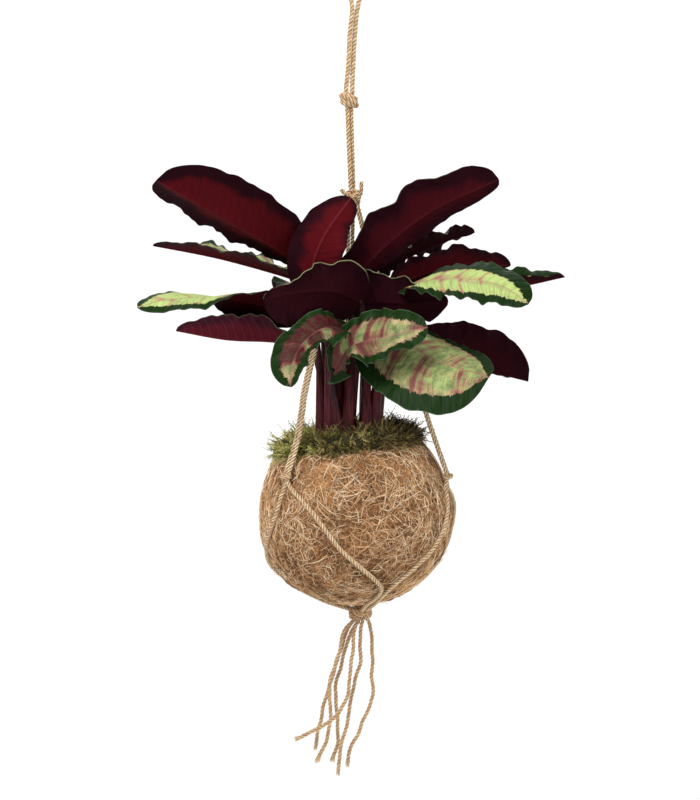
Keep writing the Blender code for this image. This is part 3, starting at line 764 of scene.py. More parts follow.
def ribbed_stalk(looks):
    """Leaf stalk: a smooth maroon skin over ribs that run its whole length, lighter and more red at its foot,
    darkened towards the blade by painted shade from the leaves above.
    """
    finish = Finish("ribbed_stalk", Roughness=0.45, IOR=1.45, Specular_IOR_Level=0.2)
    # Ribs about 0.8 mm apart, drawn long along the stalk.
    ribs = finish.add("Mapping", {"Vector": finish.read("grain"), "Scale": (1.3, 1.3, 0.04)})
    streak = finish.noise(ribs, 1.0, 4.0, 0.6)
    # tone: how near the blade, where painted shade from the leaves above darkens a stalk
    near, _, _ = finish.parts("tone")
    streaks_and_shade = finish.math("ADD", finish.fade(near, 0.35, 0.9, high=-0.3), streak)
    skin = finish.ramp(streaks_and_shade, (0.3, "#260A10"), (0.5, looks.stalk), (0.72, "#7C333C"))
    return finish.done(skin, streak, 0.5, 0.6)


def laid_jute(looks):
    """Jute: dull golden plant fibre, spun into strands and laid into rope, with fibres that catch light."""
    finish = Finish("laid_jute", Roughness=0.8, IOR=1.5, Sheen_Weight=0.15)
    # tone: how pale, how loose; loose hairs take none of the painted shade down in the lay
    pale, loose, _ = finish.parts("tone")
    # Fibres about 0.3 mm across run along each strand.
    fibres = finish.add("Mapping", {"Vector": finish.read("grain"), "Scale": (2.6, 2.6, 0.3)})
    streak = finish.noise(fibres, 1.0, 3.0, 0.65)
    mixed = finish.math("MULTIPLY_ADD", pale, 0.45, streak)
    skin = finish.ramp(mixed, (0.34, "#96613F"), (0.6, looks.jute), (0.85, "#EBD5AE"))
    # A strand's own x runs out from the rope's middle, so that its inner side, down in the lay, is darkened
    # with painted shade.
    outward, _, _ = finish.parts("grain")
    groove_shade = finish.fade(loose, 0.0, 1.0, finish.ease(outward, 0.55, 0.0, high=0.75), 0.0)
    return finish.done(finish.mix(groove_shade, skin, "#7A4A2A"), streak, 0.5, 0.8)


def matted_coir(looks):
    """Coconut fibre pressed into a mat with latex: dry brown fibres lying every way, with painted shade dark
    between them.
    """
    finish = Finish("matted_coir", Roughness=0.9, IOR=1.5)
    place = finish.read("grain")
    # Two layers of drawn-out noise stand for fibres about 0.5 mm thick that cross each other.
    bend = finish.noise(place, 0.06).outputs["Color"]
    bent = finish.add("VectorMath", {0: bend, 1: (40, 40, 40), 2: place}, operation="MULTIPLY_ADD")
    layers = [
        finish.noise(finish.add("Mapping", {
            "Vector": bent, "Rotation": turn, "Scale": (1.5, 1.5, 0.12),
        }), 1.0, 4.0, 0.7)
        for turn in ((0.3, 0.2, 0.9), (1.4, 0.9, -0.4))
    ]
    crossed = finish.math("ADD", *layers)
    mixed = finish.math("MULTIPLY_ADD", finish.noise(place, 0.07, 3.0), 0.35, crossed)
    mixed = finish.math("MULTIPLY", mixed, 0.8)
    # The darkest stop is painted shade in the gaps between the fibres.
    skin = finish.ramp(mixed, (0.78, "#4A2D16"), (0.93, "#8A6039"), (1.0, looks.coir))
    return finish.done(skin, crossed, 1.2, 0.9)


def loose_coir(looks):
    """Single coconut fibres: wiry, from dark brown to straw."""
    finish = Finish("loose_coir", Roughness=0.65, IOR=1.5)
    # tone: how pale
    pale, _, _ = finish.parts("tone")
    mixed = finish.math("MULTIPLY_ADD", finish.noise(finish.read("grain"), 0.25), 0.35, pale)
    return finish.done(finish.ramp(
        mixed, (0.1, "#583519"), (0.42, looks.coir), (0.66, "#E6BE90"), (0.95, "#FFEBC8"),
    ))


def living_moss(looks):
    """Sheet moss, gathered and packed round the stalks: green tips over olive, with dead brown tufts."""
    finish = Finish("living_moss", Roughness=0.75, IOR=1.4)
    # tone: how light, which carries painted light and painted shade, how dead
    light, dead, _ = finish.parts("tone")
    green = finish.ramp(
        light, (0.0, "#171A09"), (0.3, "#363C15"), (0.62, looks.moss), (0.85, "#9C9A4A"), (1.0, "#C6BC78"),
    )
    brown = finish.ramp(light, (0.0, "#1A110A"), (0.35, "#3B2A1A"), (0.7, "#6A5532"), (1.0, "#98814F"))
    return finish.done(finish.mix(dead, green, brown))


def potting_soil():
    """Damp potting soil: near black, with lighter crumbs of bark."""
    finish = Finish("potting_soil", Roughness=0.95, IOR=1.45)
    # Crumbs of 2 to 4 mm.
    crumbs = finish.add("TexVoronoi", {"Vector": finish.place(), "Scale": 350.0})
    skin = finish.ramp(crumbs.outputs["Color"], (0.1, "#1E140D"), (0.6, "#3B2A1E"), (1.0, "#5E4630"))
    return finish.done(skin, crumbs.outputs["Distance"], 1.5, 0.8)


def studio_paper(looks):
    """Seamless background paper: matt and pale, with a faint tooth."""
    finish = Finish("studio_paper", Roughness=0.95, IOR=1.45)
    return finish.done(looks.paper, finish.noise(finish.place(), 900.0), 0.1, 0.1)


def shared(maker, *looks):
    """A material made once, and used by every piece of that finish."""
    return bpy.data.materials.get(maker.__name__) or maker(*looks)


# ---------------------------------------------------------------- leaves


BLADE_ROWS, HALF_COLUMNS = 92, 14
TIP_WIDTH, BASE_WIDTH = 0.6, 2.0  # what a blade's half-width never falls below at its two ends, mm
SCALLOP_LENGTH, RUFFLE_LENGTH = 24, 36  # of one wave along a margin, mm
RIB_HEIGHT, RIB_WIDTH = 1.4, 1.1  # of the midrib, mm
VEIN_SLANT = 0.15  # how far a side vein runs on towards the tip, as a share of the blade
STALK_RADIUS, STALK_TAPER, SHEATH = 3.4, 1.7, 1.8  # mm

# Rose bands of the leaves that face forward: half, share of the way to the tip, width, and strength,
# which is under 0 where the leaf is less rosy than it is elsewhere.
ROSE_BANDS = {
    "leaf_03": (
        (0, 0.30, 0.02, 0.5), (0, 0.47, 0.025, 0.6), (0, 0.62, 0.02, 0.5), (0, 0.80, 0.02, 0.5),
        (1, 0.38, 0.02, 0.5), (1, 0.55, 0.03, 0.6), (1, 0.70, 0.02, 0.45), (1, 0.86, 0.03, 0.4),
    ),
    "leaf_07": (
        (0, 0.40, 0.07, -0.9), (0, 0.62, 0.05, -0.8), (0, 0.88, 0.10, -1.2), (1, 0.90, 0.09, -1.2),
        (1, 0.30, 0.03, -0.35), (1, 0.48, 0.03, -0.4), (0, 0.52, 0.02, 0.3), (1, 0.66, 0.03, -0.5),
    ),
    "leaf_08": (
        (0, 0.12, 0.10, 0.45), (0, 0.34, 0.022, 0.5), (0, 0.48, 0.022, 0.5), (0, 0.62, 0.010, 0.45),
        (0, 0.25, 0.04, -0.4), (0, 0.42, 0.03, -0.5), (0, 0.76, 0.10, -0.5), (0, 0.9, 0.03, 0.1),
        (1, 0.14, 0.10, 0.45), (1, 0.42, 0.03, 0.5), (1, 0.62, 0.05, -0.2), (1, 0.80, 0.16, -0.4),
        (1, 0.31, 0.05, -0.4),
    ),
    "leaf_09": (
        (0, 0.10, 0.07, 0.4), (0, 0.36, 0.02, 0.4), (0, 0.44, 0.012, 0.3), (0, 0.72, 0.02, 0.2),
        (0, 0.22, 0.04, -0.3), (0, 0.56, 0.05, -0.3), (1, 0.12, 0.03, 0.25), (1, 0.27, 0.022, 0.45),
        (1, 0.33, 0.012, 0.25), (1, 0.20, 0.03, -0.3), (1, 0.52, 0.02, 0.4), (1, 0.57, 0.010, 0.25),
        (1, 0.42, 0.05, -0.35), (1, 0.70, 0.06, -0.3), (1, 0.80, 0.015, 0.2),
    ),
    "leaf_14": (
        (0, 0.12, 0.06, 0.45), (0, 0.30, 0.03, 0.5), (0, 0.46, 0.015, 0.45), (0, 0.62, 0.010, 0.4),
        (1, 0.10, 0.06, 0.45), (1, 0.36, 0.020, 0.5), (1, 0.50, 0.012, 0.5), (1, 0.64, 0.010, 0.45),
    ),
}


def half_width(leaf, side, along):
    """How far a blade's margin lies from the midrib, for a share of the way to the tip."""
    x = along**leaf.skew
    bow = (4 * x * (1 - x)).clip(0) ** leaf.fullness
    shares = leaf.outline[side]
    marks = smooth_path([(at / (len(shares) - 1), share, 0) for at, share in enumerate(shares)], 200)
    bow = bow * np.interp(along, marks[:, 0], marks[:, 1])
    return leaf.halves[side] * bow + BASE_WIDTH * (1 - along) + TIP_WIDTH * along


def spread(values, along):
    """Directions read between evenly spread ones."""
    values = values if len(values) > 1 else values * 2
    return read_along(along, np.linspace(0, 1, len(values)), values)


def rose_at(name, leaf, level, sides, luck):
    """How rose each point of the upper side is, where level is the side vein's share of the midrib."""
    bands = ROSE_BANDS.get(name)
    if bands is None:
        bands = [
            (side, share + luck.uniform(-0.03, 0.03), luck.uniform(0.012, 0.03), luck.uniform(0.2, 0.6))
            for side in (0, 1) for share in np.arange(0.12, 0.95, 0.14)
        ]
    rose = np.full(level.shape, leaf.rose)
    for side, share, width, strength in bands:
        rose += strength * np.exp(-(((level - share) / width) ** 2)) * (sides == side)
    return rose.clip(0, 1)


def blade_outline(leaf, side, along, luck, length):
    """A margin's distance from the midrib, with small scallops."""
    lean, beat = luck.uniform(0, TAU, 2)
    beats = TAU * length / SCALLOP_LENGTH * along
    scallop = np.sin(beats + lean) + 0.6 * np.sin(1.8 * beats + beat)
    return half_width(leaf, side, along) * (1 + 0.018 * scallop * np.sin(math.pi * along))


def blade_sheet(leaf, luck):
    """The blade's middle surface as a grid of points, with each one's share of its half and the rest."""
    along = np.linspace(0, 1, BLADE_ROWS)
    path = smooth_path(leaf.spine, BLADE_ROWS)
    length = length_of(path)
    way = tangents(path)
    up = square_to(spread(leaf.facing, along), way)
    right = np.cross(way, up)
    steps = np.linspace(-1, 1, 2 * HALF_COLUMNS + 1)
    shares = np.sign(steps) * np.abs(steps) ** 1.2
    sheet = np.empty((BLADE_ROWS, len(shares), 3))
    halves = np.empty((BLADE_ROWS, len(shares)))
    swelling = np.sin(math.pi * along).clip(0)
    for side, columns in ((0, slice(0, HALF_COLUMNS)), (1, slice(HALF_COLUMNS, None))):
        sign = 2 * side - 1
        half = blade_outline(leaf, side, along, luck, length)
        halves[:, columns] = half[:, None]
        half = half[:, None, None]
        fold = math.radians(leaf.folds[side])
        out = right * sign * math.cos(fold) + up * math.sin(fold)
        face = up * math.cos(fold) - right * sign * math.sin(fold)
        far = np.abs(shares[columns])[None, :, None]
        start, beat = luck.uniform(0, TAU, 2)
        waves = TAU * length / RUFFLE_LENGTH * along
        wave = np.sin(waves + start) + 0.55 * np.sin(2.3 * waves + beat)
        wave = wave + 0.3 * np.sin(4.7 * waves + 2 * beat)
        ruffle = leaf.ruffles[side] * (wave * swelling**0.6)[:, None, None] * far**3
        arch = 0.07 * half * np.sin(math.pi * far) * swelling[:, None, None] ** 0.5
        # The last seventh of each half can curl over, by up to 1.3 mm.
        curl = -1.3 * leaf.hems[side] * np.clip((far - 0.86) / 0.14, 0, 1) ** 2
        back = leaf.lobes[side] * far**1.4 * (1 - along / 0.3).clip(0)[:, None, None] ** 1.5
        sheet[:, columns] = (
            path[:, None] + out[:, None] * half * far + face[:, None] * (ruffle + arch + curl)
            - way[:, None] * back
        )
    return sheet, halves, shares, along, length


def add_blade(name, leaf, looks, number):
    """A thin closed blade: waxy top, velvet underside with the midrib standing out, and a pale edge."""
    luck = np.random.default_rng(100 + number)
    sheet, halves, shares, along, length = blade_sheet(leaf, luck)
    rows, columns = halves.shape
    away = np.abs(shares)[None]
    sides = np.broadcast_to(shares > 0, halves.shape).astype(int)
    across = shares * halves

    # The medallion narrows to the base and the tip, and stops short of both.
    pale = np.array(leaf.pale)[sides]
    taper = np.sin(math.pi * along.clip(0.001, 0.999) ** 0.9) ** 0.3 * ((1 - along) / 0.12).clip(0, 1) ** 0.5
    inside = (pale * taper[:, None] - away) * halves
    ends = np.minimum(along + 0.02, 1 - along)[:, None] * length
    from_edge = np.minimum((1 - away) * halves, ends + 0.25)
    # Side veins leave the midrib at a slant and bend towards the tip.
    slant = VEIN_SLANT * np.sin(math.pi * along).clip(0)[:, None] ** 0.5
    level = along[:, None] - slant * away**1.5
    passed = level * length / (looks.vein_spacing / MM) + 60 + luck.uniform(0, 40)

    normal = unit(np.cross(np.gradient(sheet, axis=1), np.gradient(sheet, axis=0)))
    facing = unit(spread(leaf.facing, along))[:, None]
    normal = normal * np.sign((normal * facing).sum(-1).mean())
    thick = looks.thickness / MM
    rib = RIB_HEIGHT * (1 - 0.75 * along[:, None]) * np.exp(-((across / RIB_WIDTH) ** 2))
    upper = (sheet + normal * (thick / 2 - 0.35 * rib)[..., None]).reshape(-1, 3)
    lower = (sheet - normal * (thick / 2 + rib)[..., None]).reshape(-1, 3)

    rose = rose_at(name, leaf, level, sides, luck)
    hem = np.array(leaf.hems)[sides] * (2.2 * np.sin(math.pi * along) - 0.7).clip(0, 1)[:, None]
    # The underside's tone carries wine, the strength of the painted light through the medallion.
    grain, top_tone, under_tone = (
        np.stack(np.broadcast_arrays(*values), axis=-1).reshape(-1, 3)
        for values in ((across, inside, passed), (rose, from_edge, leaf.lime), (leaf.wine, from_edge, hem))
    )
    quads = grid_quads(rows, columns, False, False)
    shape = Shape()
    shape.add(upper, [quads], grain, top_tone, 0)
    shape.add(lower, [quads[:, ::-1]], grain, under_tone, 1)
    # The cut edge between the two sides has points of its own, so that neither side's colour spills over.
    index = np.arange(rows * columns).reshape(rows, columns)
    border = np.concatenate([index[0, :-1], index[:-1, -1], index[-1, :0:-1], index[:0:-1, 0]])
    rim = np.concatenate([upper[border], lower[border]])
    here = np.arange(len(border))
    after = np.roll(here, -1)
    faces = np.stack([here, here + len(border), after + len(border), after], axis=-1)
    shape.add(rim, [faces], np.tile(grain[border], (2, 1)), np.tile(under_tone[border], (2, 1)), 1)
    shape.fit(name + "_leaf", looks, (waxy_leaf_top, velvet_leaf_underside), "leaf", name + "_blade")


def stalk_section(turn):
    """A stalk's radius round its section, as a share: a channel up its inner side, and faint ribs."""
    return 1 - 0.22 * np.exp(-(((turn - math.pi) / 0.45) ** 2)) + 0.04 * np.cos(5 * turn)


def add_stalk(name, leaf, looks):
    """A tapering stalk, broad at its foot where it sheathes its neighbours, and 2 mm into its blade."""
    foot = BALL_CENTRE + ball_turn(np.array((*leaf.foot, SOIL_HEIGHT + 3 * GAP)))
    base = np.array(leaf.spine[0], float)
    way = tangents(smooth_path(leaf.spine, 10))[0]
    top = base - way * 3 * GAP
    low = foot + UP * (np.linalg.norm(top - foot) * 0.45)
    high = top - way * 8.0
    u = np.linspace(0, 1, 41)[:, None]
    fine = foot * (1 - u)**3 + low * 3 * u * (1 - u)**2 + high * 3 * u**2 * (1 - u) + top * u**3
    path = np.vstack([evenly(fine, 26), base + way * 2])
    share = np.linspace(0, 1, len(path))
    radii = STALK_RADIUS - STALK_TAPER * share + SHEATH * np.clip(1 - (share / 0.7) ** 2, 0, 1)
    outward = unit(np.array((*leaf.foot, 0.0)) + 1e-3)
    # The tone is the share of the way up, which the stalk's finish turns into painted shade near the blade.
    tone = np.zeros((1, len(path), 3))
    tone[0, :, 0] = share
    shape = Shape()
    shape.tubes(path[None], radii[None], 20, outward[None, None], tone, section=stalk_section)
    shape.fit(name + "_petiole", looks, (ribbed_stalk,), "stalk", name + "_stalk")


# ---------------------------------------------------------------- rope


# Shares of a rope's radius: how far out its strands lie, and how thick each is.
STRAND_OUT, STRAND_RADIUS, STRAND_SIDES = 0.55, 0.45, 6

# Radii from root to tip, in millimetres, of the hairs along a rope and of the fibres at a cut end.
HAIR_TAPER = np.array((0.11, 0.1, 0.08, 0.03))
FRAY_TAPER = np.array((0.26, 0.24, 0.2, 0.14, 0.05))

# A knot's hidden core, as shares of the knot's half width and half height.
CORE_WIDTH, CORE_HEIGHT = 0.72, 0.8
WRAP_POINTS = 34  # to each turn round a knot


def hair_tone(luck, count, darkest, palest):
    """The tones of loose jute hairs: how pale each is, and that it's loose."""
    return np.hstack([luck.uniform(darkest, palest, (count, 1)), np.ones((count, 1)), np.zeros((count, 1))])


def add_fuzz(shape, path, radius, per_mm, luck):
    """Loose hairs along a rope: each lifts off its surface and curls over."""
    count = int(length_of(path) * per_mm)
    if not count:
        return
    along = tangents(path)
    at = luck.integers(0, len(path), count)
    out = square_to(luck.normal(size=(count, 3)), along[at])
    lead = unit(along[at] * luck.uniform(-1, 1, (count, 1)) + out * luck.uniform(0.1, 0.55, (count, 1)))
    lengths = luck.uniform(0.4, 1.0, (count, 1)) ** 2 * 1.3 * radius
    curl = unit(np.cross(lead, luck.normal(size=(count, 3)))) * luck.uniform(-0.5, 0.5, (count, 1))
    root = path[at] + out * radius * 0.85
    share = np.linspace(0, 1, len(HAIR_TAPER))[None, :, None]
    hairs = root[:, None] + lead[:, None] * lengths[:, None] * share + (curl * lengths)[:, None] * share**2
    radii = HAIR_TAPER * luck.uniform(0.7, 1.3, (count, 1))
    shape.tubes(hairs, radii, 3, out[:, None], hair_tone(luck, count, 0.3, 1.0))


def lay_rope(shape, path, radius, looks, luck, across=(1, 0.2, 0.1), loose_end=0.0, pale=0.0):
    """Three strands laid round a path. loose_end is how much of its far end frays, pale lightens it."""
    wide, thin = carried_frame(path, across)
    reached = distances(path)
    left = reached[-1] - reached
    fray = np.clip(1 - left / loose_end, 0, 1)[:, None] if loose_end else np.zeros((len(path), 1))
    start = luck.uniform(0, TAU)
    turns = (start + np.arange(3)[:, None] * TAU / 3 + reached * TAU * MM / looks.lay)[..., None]
    outward = wide * np.cos(turns) + thin * np.sin(turns)
    strands = path + outward * radius * (STRAND_OUT + 0.15 * fray)
    swell = 1 + 0.07 * np.sin(reached * 1.7 + np.arange(3)[:, None] * 2.1) * luck.uniform(0.6, 1.2, (3, 1))
    radii = radius * STRAND_RADIUS * swell * (1 - 0.2 * fray[:, 0])
    tone = np.zeros((3, 3))
    tone[:, 0] = np.array((0.26, 0.38, 0.5)) + luck.uniform(-0.06, 0.06, 3) + pale
    shape.tubes(strands, radii, STRAND_SIDES, outward, tone)
    add_fuzz(shape, path, radius, looks.fuzz, luck)


def fray_end(shape, path, radius, luck, count=40, reach=5.0):
    """A brush of loose fibres where a rope was cut."""
    tip, way = path[-1], tangents(path)[-1]
    lead = unit(way + luck.normal(size=(count, 3)) * 0.15)
    around = square_to(luck.normal(size=(count, 3)), way)
    root = tip - way * 5 + around * radius * luck.uniform(0.1, 0.9, (count, 1))
    share = np.linspace(0, 1, len(FRAY_TAPER))[None, :, None]
    lengths = luck.uniform(0.6, 1.0, (count, 1)) * (reach + 2)
    hairs = root[:, None] + lead[:, None] * lengths[:, None] * share
    hairs = hairs + around[:, None] * share**2 * luck.uniform(0, 0.7, (count, 1))[:, None]
    radii = FRAY_TAPER * luck.uniform(0.6, 1.2, (count, 1))
    shape.tubes(hairs, radii, 3, around[:, None], hair_tone(luck, count, 0.0, 0.9))


class Wrap(NamedTuple):
    """Rope wound round a knot."""

    tilt: float  # degrees that its axis leans from upright
    heading: float  # degrees round from +X that the axis leans to
    turns: float
    drift: float  # how far it climbs along its axis
    start: float  # where it starts, in radians
    lift: float  # how far it lies over the wraps below it


def wound_path(knot, radius, wrap):
    """The middle of a rope wound round a knot."""
    centre, half = (np.array(values, float) for values in knot)
    heading = Matrix.Rotation(math.radians(wrap.heading), 3, "Z")
    leaning = np.array(heading @ Matrix.Rotation(math.radians(wrap.tilt), 3, "Y"))
    count = int(wrap.turns * WRAP_POINTS)
    theta = wrap.start + np.linspace(0, wrap.turns * TAU, count)
    rise = np.linspace(-wrap.drift / 2, wrap.drift / 2, count) / half.mean()
    way = unit(round_axis(theta, 1, rise) @ leaning.T)
    inner = half - radius + wrap.lift
    size = (np.abs(way / inner)**3).sum(axis=1) ** (1 / 3)
    share = np.linspace(0, 1, count)
    tuck = np.clip(np.minimum(share, 1 - share) / 0.09, 0, 1)
    tuck = 0.45 + 0.55 * np.sin(tuck * math.pi / 2)
    return evenly(centre + way / size[:, None] * tuck[:, None], round(count * 1.1))


def add_knot(shape, knot, radius, wraps, looks, luck, pale=0.0):
    """A tight knot: rope wound over a hidden core."""
    centre, half = (np.array(values, float) for values in knot)
    rise = np.linspace(-0.95, 0.95, 9)
    core = centre + UP * (rise * half[2] * CORE_HEIGHT)[:, None]
    radii = np.sqrt(1 - rise**2) * half[0] * CORE_WIDTH
    across = np.array([[[1.0, 0, 0]]])
    shape.tubes(core[None], radii[None], 12, across, np.zeros((1, 3)), flatness=half[1] / half[0])
    for wrap in wraps:
        path = wound_path(knot, radius, Wrap(*wrap))
        lay_rope(shape, path, radius, looks, luck, across=(0.1, 0.3, 1), pale=pale)


def arm_path(side, azimuth):
    """The middle of a doubled rope from the tie knot to its shoulder knot, with the knot's middle."""
    centre = on_ball(azimuth, SHOULDER_ELEVATION, SHOULDER_KNOT_OUT + 3 * GAP)
    out = round_axis(math.radians(azimuth), 1, 0)
    start = knot_edge(TIE_KNOT, TIE_KNOT[0] + out * 4.6 - UP * 6, -2)
    path = smooth_path([start, *ARM_BENDS[side], centre])
    return path, centre, np.cross(out, UP)


# ---------------------------------------------------------------- operators


class CALATHEA_OT_stage(bpy.types.Operator):
    """Pale sweep of paper, soft lights and the camera"""

    bl_idname = "calathea.stage"
    bl_label = "Stage"
    bl_options = {"REGISTER", "UNDO"}

    def execute(self, context):
        scene = context.scene
        looks = scene.calathea.stage
        floor = CAD_BOX[0][2] - looks.clearance
        # The paper runs level under the plant, then sweeps up behind it.
        bend = np.linspace(0.1, math.pi / 2, 14)
        level = np.linspace(-PAPER_REACH, PAPER_REACH - PAPER_BEND, 12)
        depths = np.concatenate([level, level[-1] + PAPER_BEND * np.sin(bend), [PAPER_REACH]])
        heights = np.concatenate([level * 0, PAPER_BEND * (1 - np.cos(bend)), [PAPER_TOP]])
        points = [(x, y, z + floor) for y, z in zip(depths, heights) for x in (-PAPER_REACH, PAPER_REACH)]
        mesh = bpy.data.meshes.new("paper_sweep")
        mesh.from_pydata(points, [], grid_quads(len(depths), 2, False, False).tolist())
        mesh.shade_smooth()
        mesh.materials.append(shared(studio_paper, looks))
        paper = bpy.data.objects.new("paper_sweep", mesh)
        scene.collection.objects.link(paper)

        lens = bpy.data.cameras.new("camera")
        lens.sensor_width, lens.lens = SENSOR, LENS
        camera = bpy.data.objects.new("camera", lens)
        camera.location = CAMERA_PLACE
        camera.rotation_euler = (math.radians(90), 0, 0)
        scene.collection.objects.link(camera)
        scene.camera = camera

        # Each light: place and aim in metres, size and power.
        plant, backdrop = Vector((0, 0, -0.33)), Vector((0, 3.5, 0))
        for name, place, aim, size, power in (
            ("key_light", (-0.7, -1.3, 1.1), plant, 1.0, looks.key_power),
            ("fill_light", (1.5, -1.5, 0.0), plant, 1.4, looks.key_power * 0.4),
            ("low_light", (-0.2, -1.5, -1.0), plant, 1.0, looks.key_power * 0.15),
            ("backdrop_light", (0, 1.7, 1.9), backdrop, 2.0, looks.backdrop_power),
        ):
            data = bpy.data.lights.new(name, "AREA")
            data.shape, data.size, data.energy = "DISK", size, power
            light = bpy.data.objects.new(name, data)
            light.location = place
            light.visible_camera = False
            light.rotation_euler = (aim - Vector(place)).to_track_quat("-Z", "Y").to_euler()
            scene.collection.objects.link(light)
        world = bpy.data.worlds.new("studio")
        world.use_nodes = True
        background = world.node_tree.nodes["Background"]
        background.inputs["Color"].default_value = opaque("#FFFFFF")
        background.inputs["Strength"].default_value = looks.surround
        scene.world = world
        scene.view_settings.view_transform = "Standard"
        return {"FINISHED"}


class CALATHEA_OT_hanging_loop(bpy.types.Operator):
    """Loop of laid rope that carries everything"""

    bl_idname = "calathea.hanging_loop"
    bl_label = "Hanging loop"
    bl_options = {"REGISTER", "UNDO"}

    def execute(self, context):
        looks = context.scene.calathea.rope
        # Both ends run on into the top knot, which hides them.
        path = smooth_path([(-5.4, 0, 248), *LOOP_ROUTE, (-1.8, 0, 248)])
        shape = Shape()
        lay_rope(shape, path, LOOP_ROPE, looks, np.random.default_rng(1))
        piece = shape.fit("loop_rope", looks, (laid_jute,), "jute", "hanging_loop")
        return {"FINISHED"}


class CALATHEA_OT_tails(bpy.types.Operator):
    """Six free rope ends below the bottom knot, frayed where they were cut"""

    bl_idname = "calathea.tails"
    bl_label = "Rope ends"
    bl_options = {"REGISTER", "UNDO"}

    def execute(self, context):
        looks = context.scene.calathea.rope
        for number, route in enumerate(TAIL_ROUTES, 1):
            luck = np.random.default_rng(10 + number)
            # Each end comes from nearer the middle of the bottom knot, which hides its start.
            root = np.array(route[0]) * (0.45, 0.75, 1) + (2, 0, 4.5)
            path = smooth_path([root, *route])
            reached = np.linspace(0, length_of(path), len(path))[:, None]
            kinks = np.sin(reached / 2.9 + luck.uniform(0, 6, 3))
            kinks = kinks + np.sin(reached / 4.7 + luck.uniform(0, 6, 3))
            path = path + kinks * 0.25
            shape = Shape()
            lay_rope(shape, path[:-3], TAIL_ROPE, looks, luck, loose_end=9, pale=-0.04)
            fray_end(shape, path, 1.4, luck)
            piece = shape.fit(f"tail_rope_{number}", looks, (laid_jute,), "jute", f"tail_{number}")
        return {"FINISHED"}


class CALATHEA_OT_knots(bpy.types.Operator):
    """Top, tie and bottom knots"""

    bl_idname = "calathea.knots"
    bl_label = "Knots"
    bl_options = {"REGISTER", "UNDO"}

    def execute(self, context):
        looks = context.scene.calathea.rope
        # Each knot: its rope's radius, how much paler that is, and its wraps as in Wrap.
        knots = (
            ("top_knot", TOP_KNOT, 1.9, 0.0, (
                (24, 0, 3.2, 12.0, 0.4, 0.0), (34, 10, 1.1, 0.8, 2.2, 1.2), (-50, 100, 1.1, 0.6, 0.0, -0.4),
            )),
            ("tie_knot", TIE_KNOT, 1.75, 0.0, (
                (30, -20, 2.0, 7.0, 1.0, 0.0), (-50, 10, 1.2, 1.5, 2.5, 0.9), (75, 120, 1.1, 1.0, 0.0, 0.2),
            )),
            ("bottom_knot", BOTTOM_KNOT, 1.8, -0.2, (
                (12, 0, 2.2, 6.0, 0.5, 0.0), (-28, 20, 1.2, 1.0, 3.0, 0.8), (60, 80, 1.1, 1.0, 0.0, 0.1),
                (55, -70, 1.1, 1.0, 1.5, 0.1),
            )),
        )
        for seed, (name, knot, radius, pale, wraps) in enumerate(knots):
            luck = np.random.default_rng(30 + seed)
            shape = Shape()
            add_knot(shape, knot, radius, wraps, looks, luck, pale)
            # Only the tie knot shows its cut ends.
            for end in TIE_KNOT_ENDS if knot is TIE_KNOT else ():
                path = smooth_path(end)
                lay_rope(shape, path, TAIL_ROPE, looks, luck, loose_end=4)
                fray_end(shape, path, 1.3, luck, count=26, reach=2.5)
            shape.fit(name + "_rope", looks, (laid_jute,), "jute", name)
        return {"FINISHED"}


class CALATHEA_OT_arms(bpy.types.Operator):
    """Doubled ropes from knot to knot, with the three shoulder knots"""

    bl_idname = "calathea.arms"
    bl_label = "Doubled ropes"
    bl_options = {"REGISTER", "UNDO"}

    def execute(self, context):
        looks = context.scene.calathea.rope
        luck = np.random.default_rng(50)
        shape = Shape()
        start, end = knot_edge(TOP_KNOT, TIE_KNOT[0], -3), knot_edge(TIE_KNOT, TOP_KNOT[0], -3)
        share = np.linspace(0, 1, 70)[:, None]
        line = start * (1 - share) + end * share
        # The left rope lies a little in front of the right one.
        apart = round_axis(0.6 + 0.4 * share[:, 0], 1, 0) * TWIN_ROPE
        for sign in (-1, 1):
            lay_rope(shape, line + sign * apart, TWIN_ROPE, looks, luck)
        shape.fit("twin_rope_laid", looks, (laid_jute,), "jute", "twin_rope")
        for side, azimuth in SHOULDER_AZIMUTHS.items():
            path, centre, around = arm_path(side, azimuth)
            shape = Shape()
            for sign in (-1, 1):
                lay_rope(shape, path + sign * ARM_APART * around, ARM_ROPE, looks, luck, pale=0.25)
            wraps = ((8, azimuth, 1.6, 2.6, 0.5, 0.0), (-16, azimuth + 60, 1.1, 0.6, 2.0, 0.4))
            add_knot(shape, (centre, SHOULDER_KNOT_HALF), SHOULDER_ROPE, wraps, looks, luck)
            shape.fit(side + "_arm_rope", looks, (laid_jute,), "jute", side + "_arm")
        return {"FINISHED"}


class CALATHEA_OT_net(bpy.types.Operator):
    """Six ropes that carry the ball from the shoulder knots to the bottom knot"""

    bl_idname = "calathea.net"
    bl_label = "Net"
    bl_options = {"REGISTER", "UNDO"}

    def execute(self, context):
        looks = context.scene.calathea.rope
        luck = np.random.default_rng(70)
        strands = [(side, reach) for side in SHOULDER_AZIMUTHS for reach in NET_ROUTES]
        for side, reach in strands:
            azimuth, route = SHOULDER_AZIMUTHS[side], NET_ROUTES[reach]
            extra = NET_SWINGS.get((side, reach), 1) - 1
            points = [
                on_ball(azimuth + turn * (1 + extra * at / (len(route) - 1)), up, 2.0)
                for at, (turn, up) in enumerate(route)
            ]
            way = round_axis(math.radians(azimuth + NET_LANDINGS[reach] * (1 + extra)), 1, 0.3)
            points.append(knot_edge(BOTTOM_KNOT, BOTTOM_KNOT[0] + way, -1.5))
            inside = on_ball(azimuth, SHOULDER_ELEVATION - 1, 4.0)
            shape = Shape()
            lay_rope(shape, smooth_path([inside, *points]), NET_ROPE, looks, luck, pale=0.12)
            name = f"{side}_{reach}_net"
            shape.fit(name + "_rope", looks, (laid_jute,), "jute", name + "_strand")
        return {"FINISHED"}


